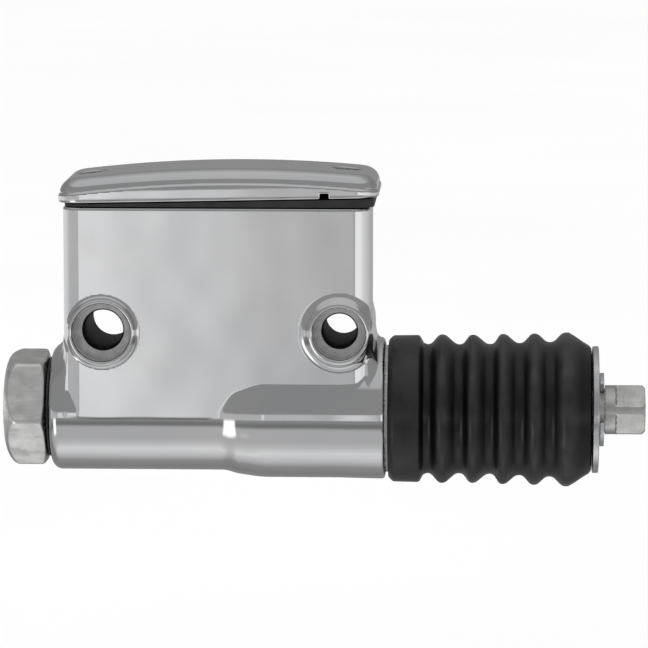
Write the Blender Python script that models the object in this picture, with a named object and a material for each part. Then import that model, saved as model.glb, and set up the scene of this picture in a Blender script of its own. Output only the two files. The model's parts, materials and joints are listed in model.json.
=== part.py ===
"""Rear brake master cylinder for a motorcycle, in metres, +Z up.

The bore runs along X, and the pushrod leaves it towards +X. The housing bolts
through two holes along Y, and the origin lies on the back mounting face, midway
between those holes. The front of the housing faces -Y.
"""

import math

import bmesh
import bpy
from mathutils import Matrix, Vector

for old in list(bpy.data.objects):
    bpy.data.objects.remove(old, do_unlink=True)

MM = 0.001
GAP = 0.3 * MM  # between pieces that touch
SEGMENTS = 32  # round the small turned pieces
HOUSING_SEGMENTS = 48

# Mounting holes, which set the frame
HOLE_SPACING = 60.7 * MM
LEFT_HOLE_RADIUS = 5.1 * MM  # clears a 3/8 in bolt
RIGHT_HOLE_RADIUS = 4.4 * MM  # clears a 5/16 in bolt
LEFT_SEAT_RADIUS = 7.45 * MM
RIGHT_SEAT_RADIUS = 6.75 * MM
LEFT_BOSS_RADIUS = 8.75 * MM
RIGHT_BOSS_RADIUS = 7.9 * MM
SEAT_DEPTH = 6.5 * MM  # of the counterbores, from the boss's rim
FRONT_BOSS_STAND = 1.6 * MM
PAD_STAND = 2.9 * MM  # of the back pads, which keeps the large barrel off the frame
PAD_EXTRA_RADIUS = 0.6 * MM
HOLE_WALL = 3.6 * MM  # of metal over the holes, under the reservoir's shelf

# Cylinder housing
AXIS_DROP = 21.7 * MM  # from the mounting holes down to the bore
SMALL_BARREL_RADIUS = 16.2 * MM
LARGE_BARREL_STEP = 1.8 * MM  # over the small barrel
FLANGE_STEP = 0.2 * MM  # over the large barrel
HOUSING_LEFT = -44.4 * MM
LEFT_STUB_LENGTH = 4.1 * MM  # of barrel beyond the reservoir's left wall
LEFT_EDGE_FILLET = 2.2 * MM
LARGE_BARREL_BLEND = 11.0 * MM
LARGE_BARREL_LENGTH = 41.3 * MM  # from the start of the blend to the flange's face
RIGHT_STUB_LENGTH = 3.7 * MM  # of barrel beyond the reservoir's right wall
FLANGE_WIDTH = 2.2 * MM
LEFT_WEB = (3.4 * MM, 7.0 * MM)  # length and height of the fillet under the left wall
RIGHT_WEB = (3.2 * MM, 9.0 * MM)
WEB_ROOT = 1.5 * MM
WEB_INSET = 0.05 * MM  # of the flat sides, inside the small barrel's tangent
BOSS_ROOT = 2.0 * MM
BOSS_FILLET = 0.9 * MM
SPIGOT_STEP = 0.2 * MM  # over the small barrel
SPIGOT_LENGTH = 7.6 * MM
SPIGOT_GROOVE_DEPTH = 1.1 * MM
SPIGOT_GROOVE_WIDTH = 3.0 * MM
SPIGOT_LIP = 2.2 * MM

# Reservoir
RIM_HEIGHT = 31.95 * MM  # above the mounting holes
RESERVOIR_LENGTH = 78.5 * MM
RESERVOIR_CORNER = 4.2 * MM
RESERVOIR_WALL = 3.2 * MM
CHAMBER_FLOOR_WALL = 4.4 * MM  # between the deep chamber and the bore
CHAMBER_CORNER = 3.0 * MM
DEEP_CHAMBER_SIDE = 2.5 * MM
POST_RADIUS = 4.2 * MM
POST_INSET = 6.4 * MM  # of the cover's screws, from the reservoir's end walls
FEED_PORT_RADIUS = 2.2 * MM
COMPENSATING_PORT_RADIUS = 0.8 * MM

# Cover and gasket
COVER_TILT = math.radians(1.18)  # the lid rises towards +X on a wedge gasket
COVER_END_OVERHANG = 1.8 * MM
COVER_SIDE_OVERHANG = 0.3 * MM
COVER_SHIFT = 0.4 * MM  # towards +X
COVER_RISE = 1.75 * MM  # of the lid's underside over the rim, at mid-length
COVER_CROWN_RISE = 9.85 * MM  # of the lid's highest line over the rim
COVER_EDGE_RADIUS = 3.1 * MM
COVER_CROWN_RADIUS = 340.0 * MM
COVER_CROWN_SHIFT = 6.05 * MM  # of the highest line, from the reservoir's middle
COVER_HOLLOW_DEPTH = 2.4 * MM
COVER_HOLLOW_SIDE = 6.2 * MM  # from the hollow to the reservoir's outer faces
VENT_WIDTH = 2.1 * MM
VENT_HEIGHT = 1.4 * MM
GASKET_GAP = 0.2 * MM
GASKET_INSET = 0.4 * MM  # from the reservoir's left wall
GASKET_STAND = 1.0 * MM  # beyond its right wall
DIAPHRAGM_DEPTH = 9.0 * MM
DIAPHRAGM_WALL = 1.2 * MM
DIAPHRAGM_SIDE_GAP = 2.0 * MM  # to the reservoir's walls and posts
SCREW_RADIUS = 2.1 * MM
SCREW_HEAD_RADIUS = 3.6 * MM
SCREW_HEAD_HEIGHT = 2.2 * MM
SCREW_HEAD_SINK = 0.9 * MM  # below the crown
SCREW_DEPTH = 10.0 * MM  # into the posts
CROSS_WIDTH = 1.0 * MM
CROSS_LENGTH = 4.4 * MM
CROSS_DEPTH = 1.4 * MM

# Cartridge
BORE_RADIUS = 7.94 * MM  # 5/8 in piston
CARTRIDGE_WALL = 3.96 * MM
HEX_ACROSS_FLATS = 27.0 * MM  # 1 1/16 in spanner
HEX_LENGTH = 11.2 * MM
HEX_TURN = math.radians(-7.5)  # of one corner, up from the front
HEX_FACE_RADIUS = 8.6 * MM
HEX_DOME = 5.2 * MM  # length of the rounding at the hexagon's outer end
HEX_BACK_CHAMFER = 1.7 * MM
OUTLET_RADIUS = 4.76 * MM  # 3/8 in fitting
OUTLET_DEPTH = 12.0 * MM
OUTLET_PASSAGE_RADIUS = 1.6 * MM
OUTLET_WASHER_THICKNESS = 0.4 * MM
OUTLET_WASHER_WIDTH = 2.2 * MM
CARTRIDGE_NECK_DEPTH = 1.5 * MM
CARTRIDGE_NECK_LENGTH = 3.6 * MM
BORE_START_INSET = 5.0 * MM  # of the blind end of the bore, from the housing's left face
CARTRIDGE_PAST_SPIGOT = 0.2 * MM
RING_SECTION_RADIUS = 1.1 * MM
RING_GROOVE_MARGIN = 0.3 * MM
FRONT_RING_INSET = 16.4 * MM  # from the housing's left face
REAR_RING_INSET = 16.5 * MM  # from the spigot's end
FEED_RELIEF_DEPTH = 1.0 * MM
RELIEF_MARGIN = 3.0 * MM
BLEED_HOLE_RADIUS = 0.7 * MM
FEED_HOLE_RADIUS = 1.3 * MM
FEED_HOLES = 4
COMPENSATING_LEAD = 8.2 * MM  # of the small port, ahead of the piston
FEED_LAG = 10.4 * MM  # of the large port, behind the piston's front

# Piston and seals, with the piston at rest
PISTON_INSET = 11.2 * MM  # of its rear face, from the spigot's end
PISTON_LENGTH = 36.7 * MM
PISTON_NECK_RADIUS = 4.5 * MM
PISTON_FRONT_LAND = 4.4 * MM
PISTON_REAR_LAND = 11.3 * MM
SECONDARY_LENGTH = 4.2 * MM
SECONDARY_INNER_RADIUS = 5.6 * MM
SECONDARY_FROM_REAR = 4.7 * MM
SHIM_THICKNESS = 0.4 * MM
PRIMARY_LENGTH = 4.6 * MM
PRIMARY_LIP = 1.3 * MM
RETAINER_THICKNESS = 0.9 * MM
RETAINER_RADIUS = 5.9 * MM
RETAINER_BOSS_RADIUS = 3.3 * MM
RETAINER_BOSS_LENGTH = 2.6 * MM
PISTON_SPRING_RADIUS = 4.7 * MM
PISTON_SPRING_WIRE = 0.6 * MM
PISTON_SPRING_TURNS = 8
BALL_RADIUS = 3.8 * MM
BALL_INSET = 2.3 * MM  # of the ball's centre, from the piston's rear face
STOP_WASHER_THICKNESS = 1.2 * MM
STOP_WASHER_PLAY = 0.1 * MM
RECESS_LEAD = 0.2 * MM  # of the washer's recess, ahead of the piston's rear face
STOP_WASHER_HOLE_RADIUS = 4.6 * MM
REAR_RECESS_STEP = 1.06 * MM  # over the bore
SNAP_RING_THICKNESS = 1.1 * MM
SNAP_RING_DEPTH = 1.0 * MM  # of its groove
SNAP_RING_WIDTH = 1.7 * MM
SNAP_RING_OPENING = math.radians(50)

# Pushrod and boot
SHANK_RADIUS = 4.0 * MM
ROD_RADIUS = 6.35 * MM  # 1/2 in
ROD_THICK_INSET = 7.7 * MM  # of its thick end, inside the boot
SQUARE_SHARE = 0.811  # of the rod's diameter, across the flats
SQUARE_LENGTH = 7.6 * MM
SQUARE_TURN = math.radians(8)
CLEVIS_HOLE_SHARE = 0.52  # of the rod's radius
CLEVIS_HOLE_DEPTH = 16.0 * MM
CLIP_THICKNESS = 1.0 * MM
CLIP_WIDTH = 3.15 * MM  # beyond the rod
CLIP_GROOVE_DEPTH = 1.3 * MM
CLIP_FROM_END = 10.75 * MM
CLIP_TURN = math.radians(20)
CLIP_SLOT_SHARE = 0.78  # of the groove's diameter, so that the clip snaps on
PUSH_WASHER_THICKNESS = 1.6 * MM
BOOT_WALL = 1.6 * MM
BOOT_END_WALL = 2.6 * MM
CUFF_GAP = 0.8 * MM  # from the flange
CUFF_THICKNESS = 2.6 * MM  # over the spigot
CUFF_LENGTH = 8.1 * MM
CUFF_CHAMFER = 1.3 * MM
BOOT_FOLDS = 5
FOLD_PITCH = 8.0 * MM
FIRST_FOLD_FROM_CUFF = 5.7 * MM
FOLD_PEAK_STEP = 0.2 * MM  # over the cuff
FOLD_DEPTH = 2.6 * MM
FOLD_GROWTH = 0.17 * MM  # of both radii from one fold to the next
BOOT_END_TAPER = 6.45 * MM  # from the last fold's peak to the washer
BOOT_END_STEP = 2.7 * MM  # below the cuff
BOOT_SPRING_WIRE = 0.8 * MM
BOOT_SPRING_INSET = 1.3 * MM  # from the cartridge's outside
BOOT_SPRING_TURNS = 7

# Places worked out from the driving sizes
AXIS_Y = -(PAD_STAND + SMALL_BARREL_RADIUS)
AXIS_Z = -AXIS_DROP
FRONT_Y = AXIS_Y - SMALL_BARREL_RADIUS
BACK_Y = AXIS_Y + SMALL_BARREL_RADIUS
LARGE_BARREL_RADIUS = SMALL_BARREL_RADIUS + LARGE_BARREL_STEP
FLANGE_RADIUS = LARGE_BARREL_RADIUS + FLANGE_STEP
SPIGOT_RADIUS = SMALL_BARREL_RADIUS + SPIGOT_STEP
RESERVOIR_LEFT = HOUSING_LEFT + LEFT_STUB_LENGTH
RESERVOIR_RIGHT = RESERVOIR_LEFT + RESERVOIR_LENGTH
RESERVOIR_MIDDLE = (RESERVOIR_LEFT + RESERVOIR_RIGHT) / 2
HOUSING_RIGHT = RESERVOIR_RIGHT + RIGHT_STUB_LENGTH
LARGE_BARREL_START = HOUSING_RIGHT - LARGE_BARREL_LENGTH
SPIGOT_END = HOUSING_RIGHT + SPIGOT_LENGTH
CARTRIDGE_RADIUS = BORE_RADIUS + CARTRIDGE_WALL
CARTRIDGE_NECK_RADIUS = CARTRIDGE_RADIUS - CARTRIDGE_NECK_DEPTH
REAR_RECESS_RADIUS = BORE_RADIUS + REAR_RECESS_STEP
HOUSING_BORE_RADIUS = CARTRIDGE_RADIUS + GAP
SEAL_RADIUS = BORE_RADIUS - GAP
LEFT_HOLE = Vector((-HOLE_SPACING / 2, 0, 0))
RIGHT_HOLE = Vector((HOLE_SPACING / 2, 0, 0))
LEFT_POST_X = RESERVOIR_LEFT + POST_INSET
RIGHT_POST_X = RESERVOIR_RIGHT - POST_INSET
HEX_RIGHT = HOUSING_LEFT - OUTLET_WASHER_THICKNESS - 2 * GAP
HEX_LEFT = HEX_RIGHT - HEX_LENGTH
CARTRIDGE_END = SPIGOT_END + CARTRIDGE_PAST_SPIGOT
BORE_START = HOUSING_LEFT + BORE_START_INSET
FRONT_RING_X = HOUSING_LEFT + FRONT_RING_INSET
REAR_RING_X = SPIGOT_END - REAR_RING_INSET
PISTON_REAR = SPIGOT_END - PISTON_INSET
PISTON_FRONT = PISTON_REAR - PISTON_LENGTH
BALL_X = PISTON_REAR - BALL_INSET
RECESS_START = PISTON_REAR - RECESS_LEAD
SNAP_GROOVE_X = RECESS_START + STOP_WASHER_THICKNESS + STOP_WASHER_PLAY + GAP
COMPENSATING_X = PISTON_FRONT - COMPENSATING_LEAD
FEED_X = PISTON_FRONT + FEED_LAG

CUFF_RADIUS = SPIGOT_RADIUS + CUFF_THICKNESS
CUFF_START = HOUSING_RIGHT + CUFF_GAP
CUFF_END = CUFF_START + CUFF_LENGTH
FOLD_PEAK_RADIUS = CUFF_RADIUS + FOLD_PEAK_STEP
FOLD_VALLEY_RADIUS = FOLD_PEAK_RADIUS - FOLD_DEPTH
FIRST_PEAK = CUFF_END + FIRST_FOLD_FROM_CUFF
LAST_PEAK = FIRST_PEAK + (BOOT_FOLDS - 1) * FOLD_PITCH
BOOT_END = LAST_PEAK + BOOT_END_TAPER
BOOT_END_RADIUS = CUFF_RADIUS - BOOT_END_STEP
BOOT_SPRING_RADIUS = CARTRIDGE_RADIUS - BOOT_SPRING_INSET
PUSH_WASHER_X = BOOT_END + GAP
PUSH_WASHER_RADIUS = BOOT_END_RADIUS + 0.1 * MM
PUSH_CLIP_X = PUSH_WASHER_X + PUSH_WASHER_THICKNESS + GAP
CLIP_RADIUS = ROD_RADIUS + CLIP_WIDTH
ROD_THICK_START = BOOT_END - ROD_THICK_INSET
ROD_END = PUSH_CLIP_X + CLIP_THICKNESS + CLIP_FROM_END
SQUARE_ACROSS_FLATS = 2 * ROD_RADIUS * SQUARE_SHARE
CLEVIS_HOLE_RADIUS = ROD_RADIUS * CLEVIS_HOLE_SHARE


def material(name, colour, roughness, metallic):
    made = bpy.data.materials.new(name)
    made.use_nodes = True
    shader = made.node_tree.nodes["Principled BSDF"]
    shader.inputs["Base Color"].default_value = (*colour, 1)
    shader.inputs["Roughness"].default_value = roughness
    shader.inputs["Metallic"].default_value = metallic
    return made


def emit(name, mesh, surface, smooth=True):
    """An object from a bmesh, with its faces turned outwards."""
    bmesh.ops.recalc_face_normals(mesh, faces=mesh.faces)
    data = bpy.data.meshes.new(name)
    mesh.to_mesh(data)
    mesh.free()
    if smooth:
        data.shade_smooth()
        data.set_sharp_from_angle(angle=math.radians(32))
    obj = bpy.data.objects.new(name, data)
    bpy.context.collection.objects.link(obj)
    if surface:
        data.materials.append(surface)
    return obj


def turned(profile, segments=SEGMENTS):
    """A closed outline of (x, radius) points spun about X. A solid one starts and ends at radius 0."""
    mesh = bmesh.new()
    verts = [mesh.verts.new((x, 0, radius)) for x, radius in profile]
    pairs = list(zip(verts, verts[1:]))
    if profile[0][1] > 0:
        pairs.append((verts[-1], verts[0]))
    edges = [mesh.edges.new(pair) for pair in pairs]
    bmesh.ops.spin(
        mesh, geom=verts + edges, cent=(0, 0, 0), axis=(1, 0, 0), angle=math.tau,
        steps=segments, use_merge=True,
    )
    bmesh.ops.remove_doubles(mesh, verts=mesh.verts, dist=1e-7)
    return mesh


def turned_about_y(profile, centre, segments=SEGMENTS):
    """The same, about an axis along Y through centre: each point is (y, radius)."""
    mesh = turned(profile, segments)
    place = Matrix.Translation(centre) @ Matrix.Rotation(math.radians(90), 4, "Z")
    bmesh.ops.transform(mesh, matrix=place, verts=mesh.verts)
    return mesh


def turned_about_z(profile, centre, segments=SEGMENTS):
    """The same, about an upright axis through centre: each point is (z, radius)."""
    mesh = turned(profile, segments)
    place = Matrix.Translation(centre) @ Matrix.Rotation(math.radians(-90), 4, "Y")
    bmesh.ops.transform(mesh, matrix=place, verts=mesh.verts)
    return mesh


def rod_profile(low, high, radius):
    return [(low, 0), (low, radius), (high, radius), (high, 0)]


def ring_profile(low, high, inner, outer):
    return [(low, inner), (low, outer), (high, outer), (high, inner)]


def prism(outline, low, high, axis):
    """An outline in the plane across axis, in X, Y, Z order, extruded from low to high."""
    mesh = bmesh.new()
    at = {"X": lambda a, b: (low, a, b), "Y": lambda a, b: (a, low, b), "Z": lambda a, b: (a, b, low)}[axis]
    face = mesh.faces.new([mesh.verts.new(at(a, b)) for a, b in outline])
    grown = bmesh.ops.extrude_face_region(mesh, geom=[face])
    moved = [item for item in grown["geom"] if isinstance(item, bmesh.types.BMVert)]
    step = {"X": (high - low, 0, 0), "Y": (0, high - low, 0), "Z": (0, 0, high - low)}[axis]
    bmesh.ops.translate(mesh, verts=moved, vec=step)
    return mesh


def rectangle(low_a, high_a, low_b, high_b):
    return [(low_a, low_b), (high_a, low_b), (high_a, high_b), (low_a, high_b)]


def rounded_rectangle(low, high, half_width, corner, corner_steps=6, side_steps=1):
    """A plan outline about the bore's Y, from x = low to high: first its back half, from +X to -X."""
    half = []
    for centre_x, start in ((high - corner, 0), (low + corner, 90)):
        for step in range(corner_steps + 1):
            angle = math.radians(start + 90 * step / corner_steps)
            half.append((centre_x + corner * math.cos(angle), half_width - corner + corner * math.sin(angle)))
        if start == 0:
            span = (high - corner) - (low + corner)
            for step in range(1, side_steps):
                half.append((high - corner - span * step / side_steps, half_width))
    back = [(x, AXIS_Y + across) for x, across in half]
    return back + [(x, AXIS_Y - across) for x, across in reversed(half)]


def slab(rings):
    """Rings of (x, y, z) points, bottom to top, joined up. Each ring mirrors about the bore's Y."""
    mesh = bmesh.new()
    loops = [[mesh.verts.new(point) for point in ring] for ring in rings]
    count = len(loops[0])
    for lower, upper in zip(loops, loops[1:]):
        for i in range(count):
            j = (i + 1) % count
            mesh.faces.new((lower[i], lower[j], upper[j], upper[i]))
    for loop in (loops[0], loops[-1]):
        for i in range(count // 2 - 1):
            mesh.faces.new((loop[i], loop[i + 1], loop[count - 2 - i], loop[count - 1 - i]))
    return mesh


def on_axis(obj):
    """Places a piece made about X on the bore's axis."""
    obj.parent = bore_axis
    return obj


def helper(name, mesh, on_bore=False):
    """A shape that only cuts or joins another: it is never drawn."""
    obj = emit(name, mesh, None, smooth=False)
    obj.hide_render = True
    obj.display_type = "WIRE"
    return on_axis(obj) if on_bore else obj


def combine(target, other, operation, solver="EXACT"):
    modifier = target.modifiers.new(f"{operation.lower()}_{other.name}", "BOOLEAN")
    modifier.operation = operation
    modifier.solver = solver
    modifier.object = other
    return target


def combine_curved(target, other, operation):
    """For long chains of cuts in round shapes, where the exact solver leaves open edges."""
    return combine(target, other, operation, "MANIFOLD")


def arc(centre_x, centre_r, along, across, start, end, steps):
    """Points of an ellipse's arc in (x, radius), its angles in degrees from +X towards +radius."""
    points = []
    for step in range(steps + 1):
        angle = math.radians(start + (end - start) * step / steps)
        points.append((centre_x + along * math.cos(angle), centre_r + across * math.sin(angle)))
    return points


bore_axis = bpy.data.objects.new("bore_axis", None)
bore_axis.location = (0, AXIS_Y, AXIS_Z)
bpy.context.collection.objects.link(bore_axis)

CHROME = material("chrome_plate", (0.62, 0.62, 0.63), 0.1, 1.0)
STEEL = material("machined_steel", (0.5, 0.5, 0.49), 0.35, 1.0)
PLATED = material("zinc_plate", (0.55, 0.56, 0.57), 0.3, 1.0)
ALUMINIUM = material("anodised_aluminium", (0.5, 0.47, 0.4), 0.35, 1.0)
SPRING_STEEL = material("spring_steel", (0.3, 0.3, 0.31), 0.35, 1.0)
BLACK_RUBBER = material("black_rubber", (0.02, 0.02, 0.02), 0.55, 0.0)
SEAL_RUBBER = material("seal_rubber", (0.03, 0.03, 0.03), 0.5, 0.0)


# Housing
def barrel_profile():
    """The outside of the cylinder, from its rounded left end to the spigot for the boot."""
    small, large = SMALL_BARREL_RADIUS, LARGE_BARREL_RADIUS
    points = [(HOUSING_LEFT, 0)]
    points += arc(HOUSING_LEFT + 1.5 * LEFT_EDGE_FILLET, small - LEFT_EDGE_FILLET,
                  1.5 * LEFT_EDGE_FILLET, LEFT_EDGE_FILLET, 180, 90, 4)
    for step in range(7):
        share = step / 6
        eased = share * share * (3 - 2 * share)
        points.append((LARGE_BARREL_START + share * LARGE_BARREL_BLEND, small + eased * (large - small)))
    points += [(HOUSING_RIGHT - FLANGE_WIDTH, large), (HOUSING_RIGHT - FLANGE_WIDTH, FLANGE_RADIUS)]
    points += [(HOUSING_RIGHT, FLANGE_RADIUS), (HOUSING_RIGHT, SPIGOT_RADIUS)]
    groove_end = SPIGOT_END - SPIGOT_LIP
    groove_start = groove_end - SPIGOT_GROOVE_WIDTH
    groove_radius = SPIGOT_RADIUS - SPIGOT_GROOVE_DEPTH
    points += [(groove_start, SPIGOT_RADIUS), (groove_start, groove_radius)]
    points += [(groove_end, groove_radius), (groove_end, SPIGOT_RADIUS)]
    points += [(SPIGOT_END, SPIGOT_RADIUS), (SPIGOT_END, 0)]
    return points


def web(name, wall_x, outwards, size, barrel_radius):
    """The fillet that runs from one end wall of the reservoir down onto the barrel."""
    length, height = size
    root = wall_x - outwards * WEB_ROOT
    profile = [(root, 0), (root, barrel_radius + height)]
    for angle in range(90, -1, -15):
        turn = math.radians(angle)
        along = wall_x + outwards * length * (1 - math.sin(turn))
        profile.append((along, barrel_radius + height * (1 - math.cos(turn))))
    profile.append((profile[-1][0], 0))
    ring = helper(name, turned(profile, HOUSING_SEGMENTS), on_bore=True)
    half = SMALL_BARREL_RADIUS - WEB_INSET
    box = rectangle(AXIS_Y - half, AXIS_Y + half, AXIS_Z, AXIS_Z + barrel_radius + 2 * height)
    reach = sorted((root - outwards * MM, profile[-1][0] + outwards * MM))
    return combine_curved(ring, helper(name + "_limit", prism(box, *reach, "X")), "INTERSECT")


def boss(name, hole, radius, stand):
    """A front mounting boss, with a rounded rim and a small fillet where it leaves the wall."""
    face = FRONT_Y - stand
    profile = [(FRONT_Y + BOSS_ROOT, 0), (FRONT_Y + BOSS_ROOT, radius + BOSS_FILLET)]
    profile += [(FRONT_Y - 0.1 * MM, radius + BOSS_FILLET), (FRONT_Y - 0.5 * stand, radius)]
    profile += [(face + 0.3 * MM, radius), (face, radius - 0.3 * MM), (face, 0)]
    return helper(name, turned_about_y(profile, hole))


def hole_cutter(name, hole, hole_radius, seat_radius):
    """The bolt hole and, in front of it, the counterbore for the bolt's head."""
    face = FRONT_Y - FRONT_BOSS_STAND
    seat = face + SEAT_DEPTH
    profile = [(face - MM, 0), (face - MM, seat_radius), (seat, seat_radius), (seat, hole_radius)]
    profile += [(MM, hole_radius), (MM, 0)]
    return helper(name, turned_about_y(profile, hole))


def chamber_cutter():
    """The reservoir's inside: a shelf over the mounting holes, deeper between them, round the screw posts."""
    half = SMALL_BARREL_RADIUS - RESERVOIR_WALL
    shelf = max(LEFT_HOLE_RADIUS, RIGHT_HOLE_RADIUS) + HOLE_WALL
    low, high = RESERVOIR_LEFT + RESERVOIR_WALL, RESERVOIR_RIGHT - RESERVOIR_WALL
    upper = rounded_rectangle(low, high, half, CHAMBER_CORNER)
    chamber = helper("chamber", prism(upper, shelf, RIM_HEIGHT + MM, "Z"))
    for side, x in (("left", LEFT_POST_X), ("right", RIGHT_POST_X)):
        profile = rod_profile(shelf - MM, RIM_HEIGHT + 2 * MM, POST_RADIUS)
        post = helper(f"post_{side}", turned_about_z(profile, (x, AXIS_Y, 0)))
        combine_curved(chamber, post, "DIFFERENCE")
    floor = AXIS_Z + HOUSING_BORE_RADIUS + CHAMBER_FLOOR_WALL
    low = LEFT_HOLE.x + LEFT_BOSS_RADIUS + DEEP_CHAMBER_SIDE
    high = RIGHT_HOLE.x - RIGHT_BOSS_RADIUS - DEEP_CHAMBER_SIDE
    deep = rounded_rectangle(low, high, half - 0.2 * MM, CHAMBER_CORNER)
    combine_curved(chamber, helper("deep_chamber", prism(deep, floor, shelf + MM, "Z")), "UNION")
    return chamber


def make_housing():
    housing = emit("reservoir_body", turned(barrel_profile(), HOUSING_SEGMENTS), CHROME)
    on_axis(housing)
    half = SMALL_BARREL_RADIUS - WEB_INSET
    outline = rounded_rectangle(RESERVOIR_LEFT, RESERVOIR_RIGHT, half, RESERVOIR_CORNER)
    combine_curved(housing, helper("block", prism(outline, AXIS_Z, RIM_HEIGHT, "Z")), "UNION")
    combine_curved(housing, web("left_web", RESERVOIR_LEFT, -1, LEFT_WEB, SMALL_BARREL_RADIUS), "UNION")
    combine_curved(housing, web("right_web", RESERVOIR_RIGHT, 1, RIGHT_WEB, FLANGE_RADIUS), "UNION")
    sides = (
        ("left", LEFT_HOLE, LEFT_HOLE_RADIUS, LEFT_SEAT_RADIUS, LEFT_BOSS_RADIUS),
        ("right", RIGHT_HOLE, RIGHT_HOLE_RADIUS, RIGHT_SEAT_RADIUS, RIGHT_BOSS_RADIUS),
    )
    for side, hole, hole_radius, seat_radius, boss_radius in sides:
        combine_curved(housing, boss(f"boss_{side}", hole, boss_radius, FRONT_BOSS_STAND), "UNION")
        pad = rod_profile(BACK_Y - BOSS_ROOT, 0, boss_radius + PAD_EXTRA_RADIUS)
        combine_curved(housing, helper(f"pad_{side}", turned_about_y(pad, hole)), "UNION")
        combine_curved(housing, hole_cutter(f"hole_{side}", hole, hole_radius, seat_radius), "DIFFERENCE")
    combine_curved(housing, chamber_cutter(), "DIFFERENCE")
    for side, x in (("left", LEFT_POST_X), ("right", RIGHT_POST_X)):
        profile = rod_profile(RIM_HEIGHT - SCREW_DEPTH - MM, RIM_HEIGHT + MM, SCREW_RADIUS + GAP)
        tapped = helper(f"tapped_{side}", turned_about_z(profile, (x, AXIS_Y, 0), 24))
        combine_curved(housing, tapped, "DIFFERENCE")
    ports = (
        ("feed_port", FEED_X, FEED_PORT_RADIUS),
        ("compensating_port", COMPENSATING_X, COMPENSATING_PORT_RADIUS),
    )
    for name, x, radius in ports:
        top = AXIS_Z + HOUSING_BORE_RADIUS + CHAMBER_FLOOR_WALL + MM
        port = helper(name, turned_about_z(rod_profile(AXIS_Z, top, radius), (x, AXIS_Y, 0), 20))
        combine_curved(housing, port, "DIFFERENCE")
    bore = rod_profile(HOUSING_LEFT - MM, SPIGOT_END + MM, HOUSING_BORE_RADIUS)
    combine_curved(housing, helper("housing_bore", turned(bore, HOUSING_SEGMENTS), True), "DIFFERENCE")


# Lid
def lid_underside(x):
    return RIM_HEIGHT + COVER_RISE + math.tan(COVER_TILT) * (x - RESERVOIR_MIDDLE)


def lid_crown(x):
    from_peak = x - RESERVOIR_MIDDLE - COVER_CROWN_SHIFT
    return RIM_HEIGHT + COVER_CROWN_RISE - from_peak * from_peak / (2 * COVER_CROWN_RADIUS)


def lid_rings():
    """Rings of the lid's outside, from its underside over the rounded edge to the crown."""
    low = RESERVOIR_LEFT - COVER_END_OVERHANG + COVER_SHIFT
    high = RESERVOIR_RIGHT + COVER_END_OVERHANG + COVER_SHIFT
    half = SMALL_BARREL_RADIUS + COVER_SIDE_OVERHANG
    corner = RESERVOIR_CORNER + COVER_END_OVERHANG

    def ring(inset, height):
        outline = rounded_rectangle(low + inset, high - inset, half - inset, corner - inset, 5, 10)
        return [(x, y, height(x)) for x, y in outline]

    rings = [ring(0, lid_underside)]
    for angle in range(0, 91, 18):
        turn = math.radians(angle)
        drop = COVER_EDGE_RADIUS * (1 - math.sin(turn))
        rings.append(ring(COVER_EDGE_RADIUS * (1 - math.cos(turn)), lambda x, drop=drop: lid_crown(x) - drop))
    return rings


def screw_places():
    """Each cover screw's side, its x and the height of its head's seat in the lid."""
    for side, x in (("left", LEFT_POST_X), ("right", RIGHT_POST_X)):
        yield side, x, lid_crown(x) - SCREW_HEAD_SINK - SCREW_HEAD_HEIGHT


def make_cover():
    cover = emit("reservoir_cover", slab(lid_rings()), CHROME)
    middle_height = lid_underside(RESERVOIR_MIDDLE)
    half = SMALL_BARREL_RADIUS - COVER_HOLLOW_SIDE
    low = LEFT_POST_X + POST_RADIUS
    high = RIGHT_POST_X - POST_RADIUS
    hollow = rounded_rectangle(low, high, half, CHAMBER_CORNER)
    mesh = prism(hollow, middle_height - 3 * MM, middle_height + COVER_HOLLOW_DEPTH, "Z")
    combine(cover, helper("lid_hollow", mesh), "DIFFERENCE")
    front = FRONT_Y - COVER_SIDE_OVERHANG - MM
    vent = rectangle(high - VENT_WIDTH, high, front, AXIS_Y - half + MM)
    top = lid_underside(high) + VENT_HEIGHT
    combine(cover, helper("vent", prism(vent, top - 2 * VENT_HEIGHT - MM, top, "Z")), "DIFFERENCE")
    for side, x, seat in screw_places():
        profile = [(RIM_HEIGHT, 0), (RIM_HEIGHT, SCREW_RADIUS + GAP), (seat, SCREW_RADIUS + GAP)]
        above = seat + 2 * SCREW_HEAD_HEIGHT + MM
        profile += [(seat, SCREW_HEAD_RADIUS + GAP), (above, SCREW_HEAD_RADIUS + GAP), (above, 0)]
        recess = helper(f"recess_{side}", turned_about_z(profile, (x, AXIS_Y, 0), 32))
        combine(cover, recess, "DIFFERENCE")


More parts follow.
